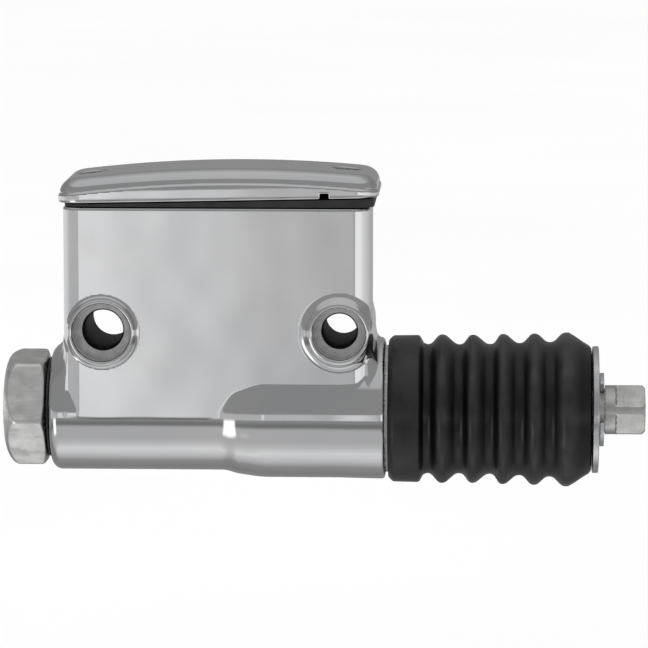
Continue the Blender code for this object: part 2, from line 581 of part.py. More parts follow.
def make_gasket():
    """A wedge of rubber under the lid, with the diaphragm that follows the fluid's level."""
    left, right = RESERVOIR_LEFT + GASKET_INSET, RESERVOIR_RIGHT + GASKET_STAND
    outline = rounded_rectangle(left, right, SMALL_BARREL_RADIUS, RESERVOIR_CORNER, 4, 6)
    low = [(x, y, RIM_HEIGHT + GASKET_GAP) for x, y in outline]
    high = [(x, y, lid_underside(x) - GASKET_GAP) for x, y in outline]
    gasket = emit("cover_gasket", slab([low, high]), SEAL_RUBBER, smooth=False)
    start = LEFT_POST_X + POST_RADIUS + DIAPHRAGM_SIDE_GAP
    end = RIGHT_POST_X - POST_RADIUS - DIAPHRAGM_SIDE_GAP
    half = SMALL_BARREL_RADIUS - RESERVOIR_WALL - DIAPHRAGM_SIDE_GAP
    bottom = RIM_HEIGHT - DIAPHRAGM_DEPTH
    outer = rounded_rectangle(start, end, half, CHAMBER_CORNER, 4)
    bag = helper("diaphragm", prism(outer, bottom, RIM_HEIGHT + 2 * GASKET_GAP, "Z"))
    combine(gasket, bag, "UNION")
    wall = DIAPHRAGM_WALL
    inner = rounded_rectangle(start + wall, end - wall, half - wall, CHAMBER_CORNER - wall, 4)
    inside = helper("diaphragm_inside", prism(inner, bottom + wall, RIM_HEIGHT + 5 * MM, "Z"))
    combine(gasket, inside, "DIFFERENCE")
    for side, x in (("left", LEFT_POST_X), ("right", RIGHT_POST_X)):
        profile = rod_profile(RIM_HEIGHT - MM, RIM_HEIGHT + 5 * MM, SCREW_RADIUS + GAP)
        hole = helper(f"gasket_hole_{side}", turned_about_z(profile, (x, AXIS_Y, 0), 24))
        combine(gasket, hole, "DIFFERENCE")


def make_cover_screws():
    for side, x, seat in screw_places():
        top = seat + SCREW_HEAD_HEIGHT
        tip = RIM_HEIGHT - SCREW_DEPTH + 0.5 * MM
        profile = [(tip, 0), (tip, SCREW_RADIUS - 0.4 * MM)]
        profile += [(RIM_HEIGHT - SCREW_DEPTH + MM, SCREW_RADIUS), (seat + GAP, SCREW_RADIUS)]
        profile += [(seat + GAP, SCREW_HEAD_RADIUS), (top - 0.6 * MM, SCREW_HEAD_RADIUS)]
        profile += [(top, SCREW_HEAD_RADIUS - 0.9 * MM), (top, 0)]
        screw = emit(f"cover_screw_{side}", turned_about_z(profile, (0, 0, 0), 32), PLATED)
        screw.location = (x, AXIS_Y, 0)
        long, short = CROSS_LENGTH / 2, CROSS_WIDTH / 2
        for name, half_x, half_y in (("a", long, short), ("b", short, long)):
            slot = rectangle(x - half_x, x + half_x, AXIS_Y - half_y, AXIS_Y + half_y)
            cutter = helper(f"cross_{side}_{name}", prism(slot, top - CROSS_DEPTH, top + MM, "Z"))
            combine(screw, cutter, "DIFFERENCE")


# Cartridge
def make_cartridge():
    corner_radius = HEX_ACROSS_FLATS / math.sqrt(3)
    corners = []
    for i in range(6):
        turn = HEX_TURN + math.radians(60 * i)
        corners.append((-corner_radius * math.cos(turn), corner_radius * math.sin(turn)))
    cartridge = emit("cartridge_body", prism(corners, HEX_LEFT, HEX_RIGHT, "X"), STEEL)
    on_axis(cartridge)
    wide = corner_radius + 0.2 * MM
    dome = [(HEX_LEFT, 0)]
    dome += arc(HEX_LEFT + HEX_DOME, HEX_FACE_RADIUS, HEX_DOME, wide - HEX_FACE_RADIUS, 180, 90, 5)
    dome += [(HEX_RIGHT - HEX_BACK_CHAMFER, wide), (HEX_RIGHT, wide - 1.3 * HEX_BACK_CHAMFER), (HEX_RIGHT, 0)]
    combine_curved(cartridge, helper("hex_dome", turned(dome), True), "INTERSECT")
    neck_end = HEX_RIGHT + CARTRIDGE_NECK_LENGTH
    shank = [(HEX_RIGHT - MM, 0), (HEX_RIGHT - MM, CARTRIDGE_NECK_RADIUS), (neck_end, CARTRIDGE_NECK_RADIUS)]
    shank.append((neck_end + 0.8 * MM, CARTRIDGE_RADIUS))
    half_groove = RING_SECTION_RADIUS + RING_GROOVE_MARGIN
    groove_radius = CARTRIDGE_RADIUS - 2 * RING_SECTION_RADIUS - RING_GROOVE_MARGIN
    relief_radius = CARTRIDGE_RADIUS - FEED_RELIEF_DEPTH
    bands = (
        (FRONT_RING_X - half_groove, FRONT_RING_X + half_groove, groove_radius),
        (COMPENSATING_X - RELIEF_MARGIN, FEED_X + RELIEF_MARGIN, relief_radius),
        (REAR_RING_X - half_groove, REAR_RING_X + half_groove, groove_radius),
    )
    for low, high, radius in bands:
        shank += [(low, CARTRIDGE_RADIUS), (low, radius), (high, radius), (high, CARTRIDGE_RADIUS)]
    shank += [(CARTRIDGE_END, CARTRIDGE_RADIUS), (CARTRIDGE_END, 0)]
    combine_curved(cartridge, helper("shank", turned(shank), True), "UNION")
    inside = [(HEX_LEFT - MM, 0), (HEX_LEFT - MM, OUTLET_RADIUS)]
    inside += [(HEX_LEFT + OUTLET_DEPTH, OUTLET_RADIUS), (HEX_LEFT + OUTLET_DEPTH, OUTLET_PASSAGE_RADIUS)]
    inside += [(BORE_START, OUTLET_PASSAGE_RADIUS), (BORE_START, BORE_RADIUS)]
    inside += [(RECESS_START, BORE_RADIUS), (RECESS_START, REAR_RECESS_RADIUS)]
    groove_end = SNAP_GROOVE_X + SNAP_RING_WIDTH
    inside += [(SNAP_GROOVE_X, REAR_RECESS_RADIUS), (SNAP_GROOVE_X, REAR_RECESS_RADIUS + SNAP_RING_DEPTH)]
    inside += [(groove_end, REAR_RECESS_RADIUS + SNAP_RING_DEPTH), (groove_end, REAR_RECESS_RADIUS)]
    inside += [(CARTRIDGE_END + MM, REAR_RECESS_RADIUS), (CARTRIDGE_END + MM, 0)]
    combine_curved(cartridge, helper("cartridge_bore", turned(inside), True), "DIFFERENCE")
    for i in range(FEED_HOLES):
        turn = math.tau * i / FEED_HOLES
        mesh = turned_about_z(rod_profile(0, CARTRIDGE_RADIUS + MM, FEED_HOLE_RADIUS), (FEED_X, 0, 0), 12)
        bmesh.ops.rotate(mesh, matrix=Matrix.Rotation(turn, 3, "X"), verts=mesh.verts)
        combine_curved(cartridge, helper(f"feed_hole_{i + 1}", mesh, True), "DIFFERENCE")
    bleed = rod_profile(0, CARTRIDGE_RADIUS + MM, BLEED_HOLE_RADIUS)
    mesh = turned_about_z(bleed, (COMPENSATING_X, 0, 0), 12)
    combine_curved(cartridge, helper("bleed_hole", mesh, True), "DIFFERENCE")


def make_static_seals():
    low = HEX_RIGHT + GAP
    inner = CARTRIDGE_NECK_RADIUS + GAP
    washer = ring_profile(low, low + OUTLET_WASHER_THICKNESS, inner, inner + OUTLET_WASHER_WIDTH)
    on_axis(emit("outlet_washer", turned(washer), SEAL_RUBBER))
    centre = CARTRIDGE_RADIUS - RING_SECTION_RADIUS
    for name, x in (("front", FRONT_RING_X), ("rear", REAR_RING_X)):
        section = arc(x, centre, RING_SECTION_RADIUS, RING_SECTION_RADIUS, 0, 315, 7)
        on_axis(emit(f"cartridge_o_ring_{name}", turned(section), SEAL_RUBBER))


# Piston and its seals
def make_piston():
    land = SEAL_RADIUS + 0.1 * MM
    groove_end = PISTON_REAR - SECONDARY_FROM_REAR
    groove_start = groove_end - SECONDARY_LENGTH - 2 * GAP
    socket = BALL_RADIUS + GAP
    profile = [(PISTON_FRONT, 0), (PISTON_FRONT, land - 0.4 * MM), (PISTON_FRONT + 0.4 * MM, land)]
    front_land_end = PISTON_FRONT + PISTON_FRONT_LAND
    profile += [(front_land_end, land), (front_land_end, PISTON_NECK_RADIUS)]
    profile += [(PISTON_REAR - PISTON_REAR_LAND, PISTON_NECK_RADIUS), (PISTON_REAR - PISTON_REAR_LAND, land)]
    profile += [(groove_start, land), (groove_start, SECONDARY_INNER_RADIUS - GAP)]
    profile += [(groove_end, SECONDARY_INNER_RADIUS - GAP), (groove_end, land)]
    profile += [(PISTON_REAR, land), (PISTON_REAR, socket)]
    profile += arc(BALL_X, 0, socket, socket, 90, 180, 6)
    profile[-1] = (BALL_X - socket, 0)
    on_axis(emit("piston", turned(profile), ALUMINIUM))
    return groove_start + GAP


def cup_profile(low, high, inner, lip):
    """A lip seal: solid at its back, with a V that opens towards -X."""
    outer = SEAL_RADIUS
    crotch = (inner + outer) / 2
    points = [(low, inner + 0.1 * MM), (low, inner + lip * 0.6), (low + 0.55 * (high - low), crotch)]
    points += [(low, outer - lip * 0.6), (low, outer), (high - 0.3 * MM, outer - 0.2 * MM)]
    return points + [(high, outer - 0.5 * MM), (high, inner)]


def make_seals(secondary_start):
    shim_end = PISTON_FRONT - GAP
    shim_start = shim_end - SHIM_THICKNESS
    on_axis(emit("cup_shim", turned(rod_profile(shim_start, shim_end, SEAL_RADIUS - 0.3 * MM)), SPRING_STEEL))
    cup_end = shim_start - GAP
    cup_start = cup_end - PRIMARY_LENGTH
    cup_middle = cup_start + PRIMARY_LENGTH * 0.5
    cup = [(cup_middle, 0), (cup_middle, SEAL_RADIUS - 2.2 * PRIMARY_LIP)]
    cup += [(cup_start, SEAL_RADIUS - PRIMARY_LIP), (cup_start, SEAL_RADIUS)]
    cup.append((cup_end - 0.4 * MM, SEAL_RADIUS - 0.2 * MM))
    cup += [(cup_end, SEAL_RADIUS - 0.6 * MM), (cup_end, 0)]
    on_axis(emit("primary_cup", turned(cup), SEAL_RUBBER))
    retainer_end = cup_start - GAP
    flange = retainer_end - RETAINER_THICKNESS
    boss_end = flange - RETAINER_BOSS_LENGTH
    profile = [(boss_end, 0), (boss_end, RETAINER_BOSS_RADIUS - 0.5 * MM)]
    profile += [(boss_end + 0.5 * MM, RETAINER_BOSS_RADIUS), (flange, RETAINER_BOSS_RADIUS)]
    profile += [(flange, RETAINER_RADIUS), (retainer_end, RETAINER_RADIUS), (retainer_end, 0)]
    on_axis(emit("spring_retainer", turned(profile), STEEL))
    secondary_end = secondary_start + SECONDARY_LENGTH
    secondary = cup_profile(secondary_start, secondary_end, SECONDARY_INNER_RADIUS, 1.0 * MM)
    on_axis(emit("secondary_cup", turned(secondary), SEAL_RUBBER))
    return flange


def coil(name, low, high, radius, wire, turns, steps=10):
    """A compression spring between two planes across X, with nearly flat end coils."""
    curve = bpy.data.curves.new(name, "CURVE")
    curve.dimensions = "3D"
    curve.bevel_depth = wire
    curve.bevel_resolution = 1
    curve.use_fill_caps = True
    spline = curve.splines.new("POLY")
    count = turns * steps
    spline.points.add(count)
    start, end = low + 1.1 * wire, high - 1.1 * wire
    dead = 2.3 * wire  # rise of each end coil
    for i in range(count + 1):
        turn = i / steps
        if turn < 1:
            x = start + dead * turn
        elif turn > turns - 1:
            x = end - dead * (turns - turn)
        else:
            x = start + dead + (end - start - 2 * dead) * (turn - 1) / (turns - 2)
        angle = math.tau * turn
        spline.points[i].co = (x, radius * math.cos(angle), radius * math.sin(angle), 1)
    obj = bpy.data.objects.new(name, curve)
    curve.materials.append(SPRING_STEEL)
    bpy.context.collection.objects.link(obj)
    return on_axis(obj)


def make_stop():
    washer_end = SNAP_GROOVE_X
    washer_start = washer_end - STOP_WASHER_THICKNESS
    outside = REAR_RECESS_RADIUS - GAP
    washer = ring_profile(washer_start, washer_end, STOP_WASHER_HOLE_RADIUS, outside)
    on_axis(emit("stop_washer", turned(washer), STEEL))
    inner = REAR_RECESS_RADIUS - 1.5 * MM
    outer = REAR_RECESS_RADIUS + SNAP_RING_DEPTH - GAP
    start = SNAP_RING_OPENING / 2
    outline = []
    for radius, angles in ((outer, range(31)), (inner, range(30, -1, -1))):
        for step in angles:
            turn = start + (math.tau - SNAP_RING_OPENING) * step / 30
            outline.append((radius * math.sin(turn), -radius * math.cos(turn)))
    low = SNAP_GROOVE_X + GAP
    on_axis(emit("snap_ring", prism(outline, low, low + SNAP_RING_THICKNESS, "X"), SPRING_STEEL))


# Pushrod, boot and what holds them
def make_pushrod():
    neck = BALL_RADIUS * 0.72
    ball = arc(BALL_X, 0, BALL_RADIUS, BALL_RADIUS, 180, 46, 8)
    ball[0] = (BALL_X - BALL_RADIUS, 0)
    neck_x = BALL_X + BALL_RADIUS * math.sqrt(1 - 0.72 * 0.72)
    groove = ROD_RADIUS - CLIP_GROOVE_DEPTH
    profile = ball + [(neck_x + MM, neck), (neck_x + 2.5 * MM, SHANK_RADIUS)]
    profile += [(ROD_THICK_START - 2 * MM, SHANK_RADIUS), (ROD_THICK_START, ROD_RADIUS)]
    profile += [(PUSH_CLIP_X - 0.1 * MM, ROD_RADIUS), (PUSH_CLIP_X - 0.1 * MM, groove)]
    groove_end = PUSH_CLIP_X + CLIP_THICKNESS + GAP
    profile += [(groove_end, groove), (groove_end, ROD_RADIUS)]
    profile += [(ROD_END - 0.7 * MM, ROD_RADIUS), (ROD_END, ROD_RADIUS - 0.7 * MM), (ROD_END, 0)]
    rod = on_axis(emit("pushrod", turned(profile), STEEL))
    flat = SQUARE_ACROSS_FLATS / 2
    for i in range(4):
        outline = [(-flat - 3 * MM, -9 * MM), (-flat, -9 * MM), (-flat, 9 * MM), (-flat - 3 * MM, 9 * MM)]
        mesh = prism(outline, ROD_END - SQUARE_LENGTH, ROD_END + MM, "X")
        turn = -SQUARE_TURN + math.radians(45 + 90 * i)
        bmesh.ops.rotate(mesh, matrix=Matrix.Rotation(turn, 3, "X"), verts=mesh.verts)
        combine(rod, helper(f"flat_{i + 1}", mesh, True), "DIFFERENCE")
    tapped = [(ROD_END - CLEVIS_HOLE_DEPTH, 0), (ROD_END - CLEVIS_HOLE_DEPTH, CLEVIS_HOLE_RADIUS)]
    beyond = ROD_END + 0.4 * MM
    tapped += [(ROD_END - 0.6 * MM, CLEVIS_HOLE_RADIUS), (beyond, CLEVIS_HOLE_RADIUS + MM), (beyond, 0)]
    combine(rod, helper("clevis_hole", turned(tapped, 24), True), "DIFFERENCE")


def make_clip():
    """A spring clip that snaps sideways into the rod's groove, held by three prongs."""
    inner = ROD_RADIUS - CLIP_GROOVE_DEPTH + 0.15 * MM
    relief = inner + 1.7 * MM
    opening = math.asin(CLIP_SLOT_SHARE)
    outline = []
    steps = 40
    for step in range(steps + 1):
        turn = opening * 0.62 + (math.tau - 1.24 * opening) * step / steps
        outline.append((CLIP_RADIUS, turn))
    outline.append((relief + 1.0 * MM, math.tau - opening * 0.86))
    outline.append((inner, math.tau - opening))
    back = math.pi
    prong = math.radians(24)
    side = math.radians(16)
    outline.append((inner, math.tau - opening - side))
    relief_turn = opening + side + 0.12
    for start, end in ((math.tau - relief_turn, back + prong), (back - prong, relief_turn)):
        for step in range(7):
            outline.append((relief, start + (end - start) * step / 6))
        if start > back:
            outline += [(inner, back + prong * 0.8), (inner, back), (inner, back - prong * 0.8)]
    outline += [(inner, opening + side), (inner, opening), (relief + 1.0 * MM, opening * 0.86)]
    points = []
    for radius, turn in outline:
        angle = turn + CLIP_TURN
        points.append((-radius * math.cos(angle), radius * math.sin(angle)))
    low = PUSH_CLIP_X + 0.1 * MM
    on_axis(emit("e_clip", prism(points, low, low + CLIP_THICKNESS, "X"), PLATED))


def make_push_washer():
    low, high, edge = PUSH_WASHER_X, PUSH_WASHER_X + PUSH_WASHER_THICKNESS, 0.4 * MM
    outer = PUSH_WASHER_RADIUS
    profile = [(low, ROD_RADIUS + GAP), (low, outer - edge), (low + edge, outer), (high - edge, outer)]
    profile += [(high, outer - edge), (high, ROD_RADIUS + GAP)]
    on_axis(emit("push_washer", turned(profile), PLATED))


def make_boot():
    def fold(x):
        """Outer radius over the folds, which widen a little towards the pushrod."""
        share = (x - FIRST_PEAK) / FOLD_PITCH
        middle = (FOLD_PEAK_RADIUS + FOLD_VALLEY_RADIUS) / 2 + FOLD_GROWTH * share
        return middle + (FOLD_PEAK_RADIUS - FOLD_VALLEY_RADIUS) / 2 * math.cos(math.tau * share)

    chamfer = CUFF_CHAMFER
    outer = [(CUFF_START, CUFF_RADIUS - chamfer), (CUFF_START + chamfer, CUFF_RADIUS)]
    outer += [(CUFF_END - chamfer, CUFF_RADIUS), (CUFF_END, CUFF_RADIUS - chamfer)]
    start = FIRST_PEAK - FOLD_PITCH / 2
    steps = round((LAST_PEAK - start) / (FOLD_PITCH / 4))
    ridges = [start + (LAST_PEAK - start) * step / steps for step in range(steps + 1)]
    outer += [(x, fold(x)) for x in ridges]
    outer += [(LAST_PEAK + 1.2 * MM, fold(LAST_PEAK) - 0.3 * MM), (BOOT_END, BOOT_END_RADIUS)]
    end_wall = BOOT_END - BOOT_END_WALL
    inner = [(BOOT_END, ROD_RADIUS + GAP), (end_wall, ROD_RADIUS + GAP)]
    inner.append((end_wall, BOOT_END_RADIUS - 0.6 * MM))
    inner += [(x, fold(x) - BOOT_WALL) for x in reversed(ridges[2:])]
    past_spigot = SPIGOT_END + GAP
    inner += [(past_spigot + 0.2 * MM, SPIGOT_RADIUS - MM), (past_spigot, SPIGOT_RADIUS + GAP)]
    bead_end = SPIGOT_END - SPIGOT_LIP - GAP
    bead_start = bead_end - SPIGOT_GROOVE_WIDTH + 2 * GAP
    bead = SPIGOT_RADIUS - SPIGOT_GROOVE_DEPTH + GAP
    inner += [(bead_end, SPIGOT_RADIUS + GAP), (bead_end, bead), (bead_start, bead)]
    inner += [(bead_start, SPIGOT_RADIUS + GAP), (CUFF_START, SPIGOT_RADIUS + GAP)]
    on_axis(emit("boot", turned(outer + inner), BLACK_RUBBER))
    return end_wall


make_housing()
make_cover()
make_gasket()
make_cover_screws()
make_cartridge()
make_static_seals()
secondary_start = make_piston()
spring_seat = make_seals(secondary_start)
piston_spring_size = (PISTON_SPRING_RADIUS, PISTON_SPRING_WIRE, PISTON_SPRING_TURNS)
coil("piston_spring", BORE_START + GAP, spring_seat - GAP, *piston_spring_size)
make_stop()
make_pushrod()
make_clip()
make_push_washer()
end_wall = make_boot()
boot_spring_size = (BOOT_SPRING_RADIUS, BOOT_SPRING_WIRE, BOOT_SPRING_TURNS)
coil("boot_spring", CARTRIDGE_END + GAP, end_wall - GAP, *boot_spring_size)
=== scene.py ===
"""Looks for the brake master cylinder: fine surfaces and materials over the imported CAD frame."""

import json
import math

import bpy
import numpy as np
from mathutils import Matrix, Vector


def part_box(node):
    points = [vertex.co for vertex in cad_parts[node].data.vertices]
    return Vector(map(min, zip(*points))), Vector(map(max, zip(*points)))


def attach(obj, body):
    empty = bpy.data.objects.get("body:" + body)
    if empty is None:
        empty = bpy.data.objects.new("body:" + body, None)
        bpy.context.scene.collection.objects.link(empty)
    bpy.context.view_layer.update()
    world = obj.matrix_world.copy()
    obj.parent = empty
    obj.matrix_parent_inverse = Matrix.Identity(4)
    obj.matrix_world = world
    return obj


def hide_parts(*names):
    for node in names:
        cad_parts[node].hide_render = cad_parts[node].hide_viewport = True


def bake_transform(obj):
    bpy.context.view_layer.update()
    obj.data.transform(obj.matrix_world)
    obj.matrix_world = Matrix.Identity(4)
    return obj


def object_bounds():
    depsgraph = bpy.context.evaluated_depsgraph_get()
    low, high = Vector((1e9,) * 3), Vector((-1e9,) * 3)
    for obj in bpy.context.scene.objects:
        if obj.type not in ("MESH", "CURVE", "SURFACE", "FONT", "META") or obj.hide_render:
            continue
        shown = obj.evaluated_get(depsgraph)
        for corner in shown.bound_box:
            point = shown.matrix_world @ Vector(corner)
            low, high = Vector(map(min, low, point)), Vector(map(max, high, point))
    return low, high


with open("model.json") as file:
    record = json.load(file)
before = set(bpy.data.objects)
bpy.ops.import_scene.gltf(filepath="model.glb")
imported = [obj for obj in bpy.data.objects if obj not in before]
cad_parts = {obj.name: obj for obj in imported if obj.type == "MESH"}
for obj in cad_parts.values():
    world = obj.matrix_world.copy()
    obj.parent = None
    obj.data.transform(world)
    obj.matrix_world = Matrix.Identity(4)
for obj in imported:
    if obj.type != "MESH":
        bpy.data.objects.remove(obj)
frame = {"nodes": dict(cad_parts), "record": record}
cad_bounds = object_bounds()

MM = 0.001
JOINTS = {joint["name"]: joint for joint in frame["record"]["behaviour"]["joints"]}
AXIS_Y, AXIS_Z = (value / MM for value in JOINTS["pushrod_spin"]["pos_m"][1:])


def box_mm(node):
    """A CAD node's lowest and highest corners, in millimetres."""
    low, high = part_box(node)
    return np.array(low) / MM, np.array(high) / MM


# ---------------------------------------------------------------- materials
def new_material(name, colour, roughness, metallic=0.0, **sockets):
    """A material with its Principled shader, for the functions below to add texture to."""
    material = bpy.data.materials.new(name)
    material.use_nodes = True
    shader = material.node_tree.nodes["Principled BSDF"]
    shader.inputs["Base Color"].default_value = (*colour, 1)
    shader.inputs["Roughness"].default_value = roughness
    shader.inputs["Metallic"].default_value = metallic
    for socket, value in sockets.items():
        shader.inputs[socket.replace("_", " ")].default_value = value
    return material, material.node_tree, shader


def stretched_position(tree, stretch):
    """Object coordinates, each axis scaled by stretch."""
    place = tree.nodes.new("ShaderNodeTexCoord")
    mapping = tree.nodes.new("ShaderNodeMapping")
    mapping.inputs["Scale"].default_value = stretch
    tree.links.new(place.outputs["Object"], mapping.inputs["Vector"])
    return mapping.outputs["Vector"]


def noise(tree, scale, detail=3.0, stretch=(1, 1, 1)):
    """Noise with features about 1 / scale metres across."""
    node = tree.nodes.new("ShaderNodeTexNoise")
    node.inputs["Scale"].default_value = scale
    node.inputs["Detail"].default_value = detail
    tree.links.new(stretched_position(tree, stretch), node.inputs["Vector"])
    return node.outputs["Fac"]


def spread(tree, value, low, high, start=0.3, end=0.7):
    """value, from start to end, mapped to low to high."""
    node = tree.nodes.new("ShaderNodeMapRange")
    node.inputs["From Min"].default_value = start
    node.inputs["From Max"].default_value = end
    node.inputs["To Min"].default_value = low
    node.inputs["To Max"].default_value = high
    tree.links.new(value, node.inputs["Value"])
    return node.outputs["Result"]


def tint(tree, shader, value, dark, light, start=0.3, end=0.7):
    """Base colour between dark and light as value goes from start to end."""
    ramp = tree.nodes.new("ShaderNodeValToRGB")
    ramp.color_ramp.elements[0].position = start
    ramp.color_ramp.elements[0].color = (*dark, 1)
    ramp.color_ramp.elements[1].position = end
    ramp.color_ramp.elements[1].color = (*light, 1)
    tree.links.new(value, ramp.inputs["Fac"])
    tree.links.new(ramp.outputs["Color"], shader.inputs["Base Color"])


def bump(tree, shader, value, height, before=None):
    """Adds relief of that height in metres, on top of an earlier bump."""
    node = tree.nodes.new("ShaderNodeBump")
    node.inputs["Distance"].default_value = height
    tree.links.new(value, node.inputs["Height"])
    if before:
        tree.links.new(before, node.inputs["Normal"])
    tree.links.new(node.outputs["Normal"], shader.inputs["Normal"])
    return node.outputs["Normal"]


def scratches(tree, scale, stretch, amount):
    """Thin marks: the narrow peaks of a stretched noise."""
    return spread(tree, noise(tree, scale, 6.0, stretch), 0.0, 1.0, 0.5 + amount, 0.56 + amount)


def math_node(tree, operation, first, second=0.0):
    node = tree.nodes.new("ShaderNodeMath")
    node.operation = operation
    for socket, value in zip(node.inputs, (first, second)):
        if isinstance(value, (int, float)):
            socket.default_value = value
        else:
            tree.links.new(value, socket)
    return node.outputs[0]


def mixed(tree, share, first, second):
    node = tree.nodes.new("ShaderNodeMix")
    node.data_type = "RGBA"
    tree.links.new(share, node.inputs["Factor"])
    for socket, value in ((node.inputs[6], first), (node.inputs[7], second)):
        if isinstance(value, tuple):
            socket.default_value = value
        else:
            tree.links.new(value, socket)
    return node.outputs[2]


def chrome():
    material, tree, shader = new_material("polished_chrome", (0.62, 0.62, 0.63), 0.06, 1.0)
    haze = noise(tree, 60, 5.0)
    tree.links.new(spread(tree, haze, 0.03, 0.1), shader.inputs["Roughness"])
    tint(tree, shader, noise(tree, 35, 2.0), (0.6, 0.605, 0.61), (0.65, 0.65, 0.65))
    first = bump(tree, shader, noise(tree, 45, 1.0), 0.00012)
    bump(tree, shader, noise(tree, 900, 2.0, (0.4, 1, 1)), 0.0000006, first)
    # painted shade: a dark line along the crease under the front face
    painted_crease_shade(tree, shader)
    return material


CREASE_DROP = 0.45  # below the bore's axis, in millimetres
CREASE_WANDER = 0.0003
CREASE_SHADE_COLOUR = (0.12, 0.12, 0.12, 1)
# Where the painted shade line fades in: from the first place, where there is none, to the second
CREASE_LIMITS = (("x", -0.0400, -0.0365), ("x", -0.0015, -0.0035), ("y", -0.028, -0.03))


def painted_crease_shade(tree, shader):
    """Painted shade: a dark line in the base colour where the front face rolls under onto the small barrel.
    """
    place = tree.nodes.new("ShaderNodeTexCoord")
    split = tree.nodes.new("ShaderNodeSeparateXYZ")
    tree.links.new(place.outputs["Object"], split.inputs[0])
    x, y, z = split.outputs
    wander = spread(tree, noise(tree, 40, 1.0, (1, 0, 0)), -CREASE_WANDER, CREASE_WANDER)
    height = math_node(tree, "SUBTRACT", math_node(tree, "ADD", z, wander), (AXIS_Z - CREASE_DROP) * MM)
    line = spread(tree, math_node(tree, "ABSOLUTE", height), 0.72, 0.0, 0.0001, 0.00045)
    for value, start, end in CREASE_LIMITS:
        place = {"x": x, "y": y}[value]
        line = math_node(tree, "MULTIPLY", line, spread(tree, place, 0.0, 1.0, start, end))
    colour = shader.inputs["Base Color"].links[0].from_socket
    # mixes the painted shade line into the base colour
    tree.links.new(mixed(tree, line, colour, CREASE_SHADE_COLOUR), shader.inputs["Base Color"])


def raw_casting():
    material, tree, shader = new_material("bare_casting", (0.55, 0.55, 0.54), 0.5, 0.4)
    tint(tree, shader, noise(tree, 500), (0.47, 0.47, 0.465), (0.62, 0.62, 0.61))
    tree.links.new(spread(tree, noise(tree, 900), 0.35, 0.65), shader.inputs["Roughness"])
    bump(tree, shader, noise(tree, 2500, 4.0), 0.00004)
    return material


def bore_with_painted_shade():
    # Bare metal darkened to near black: painted shade for the unlit walls of the bolt holes.
    material, tree, shader = new_material("unlit_bore", (0.03, 0.03, 0.03), 0.6, 0.6)
    tint(tree, shader, noise(tree, 400), (0.004, 0.004, 0.004), (0.012, 0.012, 0.011))
    bump(tree, shader, noise(tree, 2000, 3.0), 0.00003)
    return material


def worn_steel(name, colour, roughness, stretch, scuff=0.1):
    """Plated or machined steel: mottled, with fine tool marks along one direction."""
    material, tree, shader = new_material(name, colour, roughness, 1.0)
    dark = tuple(channel * 0.82 for channel in colour)
    light = tuple(min(channel * 1.12, 1) for channel in colour)
    tint(tree, shader, noise(tree, 260, 6.0), dark, light)
    marks = scratches(tree, 700, stretch, scuff)
    mottled = spread(tree, noise(tree, 180, 5.0), roughness - 0.08, roughness + 0.1)
    rough = math_node(tree, "ADD", mottled, spread(tree, marks, 0.0, 0.15, 0.0, 1.0))
    tree.links.new(rough, shader.inputs["Roughness"])
    first = bump(tree, shader, noise(tree, 1500, 3.0, stretch), 0.00001)
    bump(tree, shader, marks, -0.000015, first)
    return material


def rubber(name, colour, roughness, grain, height):
    """Dull rubber, mottled between its colour and a lighter one."""
    material, tree, shader = new_material(name, colour, roughness, 0.0)
    light = tuple(channel * 1.9 for channel in colour)
    tint(tree, shader, noise(tree, 220, 6.0), colour, light, 0.4, 0.75)
    rough = spread(tree, noise(tree, 150, 4.0), roughness - 0.07, roughness + 0.1)
    tree.links.new(rough, shader.inputs["Roughness"])
    bump(tree, shader, noise(tree, grain, 3.0), height)
    return material


CREST_RADII = (0.0180, 0.0196)  # where the painted highlight grey of the crests starts, and where it is full


def boot_rubber():
    """Glossy rubber, with painted shade making the folds' valleys black and a painted highlight making the
    crests greyer.
    """
    material, tree, shader = new_material("boot_rubber", (0.002, 0.002, 0.002), 0.3, Specular_IOR_Level=0.4)
    place = tree.nodes.new("ShaderNodeTexCoord")
    split = tree.nodes.new("ShaderNodeSeparateXYZ")
    tree.links.new(place.outputs["Object"], split.inputs[0])
    across = math_node(tree, "SUBTRACT", split.outputs[1], AXIS_Y * MM)
    up = math_node(tree, "SUBTRACT", split.outputs[2], AXIS_Z * MM)
    squares = [math_node(tree, "MULTIPLY", value, value) for value in (across, up)]
    radius = math_node(tree, "SQRT", math_node(tree, "ADD", *squares))
    crest = spread(tree, radius, 0.0, 1.0, *CREST_RADII)
    # painted highlight on the crests and painted shade in the valleys, by distance from the bore's axis,
    # broken up by noise
    painted_crest_light = math_node(tree, "MULTIPLY", crest, spread(tree, noise(tree, 160, 5.0), 0.45, 1.0))
    tint(tree, shader, painted_crest_light, (0.0015, 0.0015, 0.0017), (0.026, 0.026, 0.027), 0.05, 1.0)
    tree.links.new(spread(tree, noise(tree, 150, 4.0), 0.24, 0.4), shader.inputs["Roughness"])
    bump(tree, shader, noise(tree, 2500, 3.0), 0.00002)
    return material


CHROME = chrome()
CASTING = raw_casting()
BORE_PAINTED_SHADE = bore_with_painted_shade()
HEX_STEEL = worn_steel("dull_plated_steel", (0.76, 0.76, 0.74), 0.34, (0.25, 1, 1), 0.05)
ROD_STEEL = worn_steel("turned_steel", (0.6, 0.6, 0.58), 0.3, (6, 0.5, 0.5))
ZINC = worn_steel("bright_zinc", (0.6, 0.61, 0.62), 0.24, (1, 0.4, 1))
SPRING = worn_steel("oiled_spring_wire", (0.2, 0.2, 0.21), 0.3, (1, 1, 1))
PISTON = worn_steel("anodised_aluminium", (0.5, 0.46, 0.38), 0.34, (6, 0.5, 0.5))
BOOT_RUBBER = boot_rubber()
SEAL_RUBBER = rubber("seal_rubber", (0.014, 0.014, 0.014), 0.5, 1800, 0.00002)


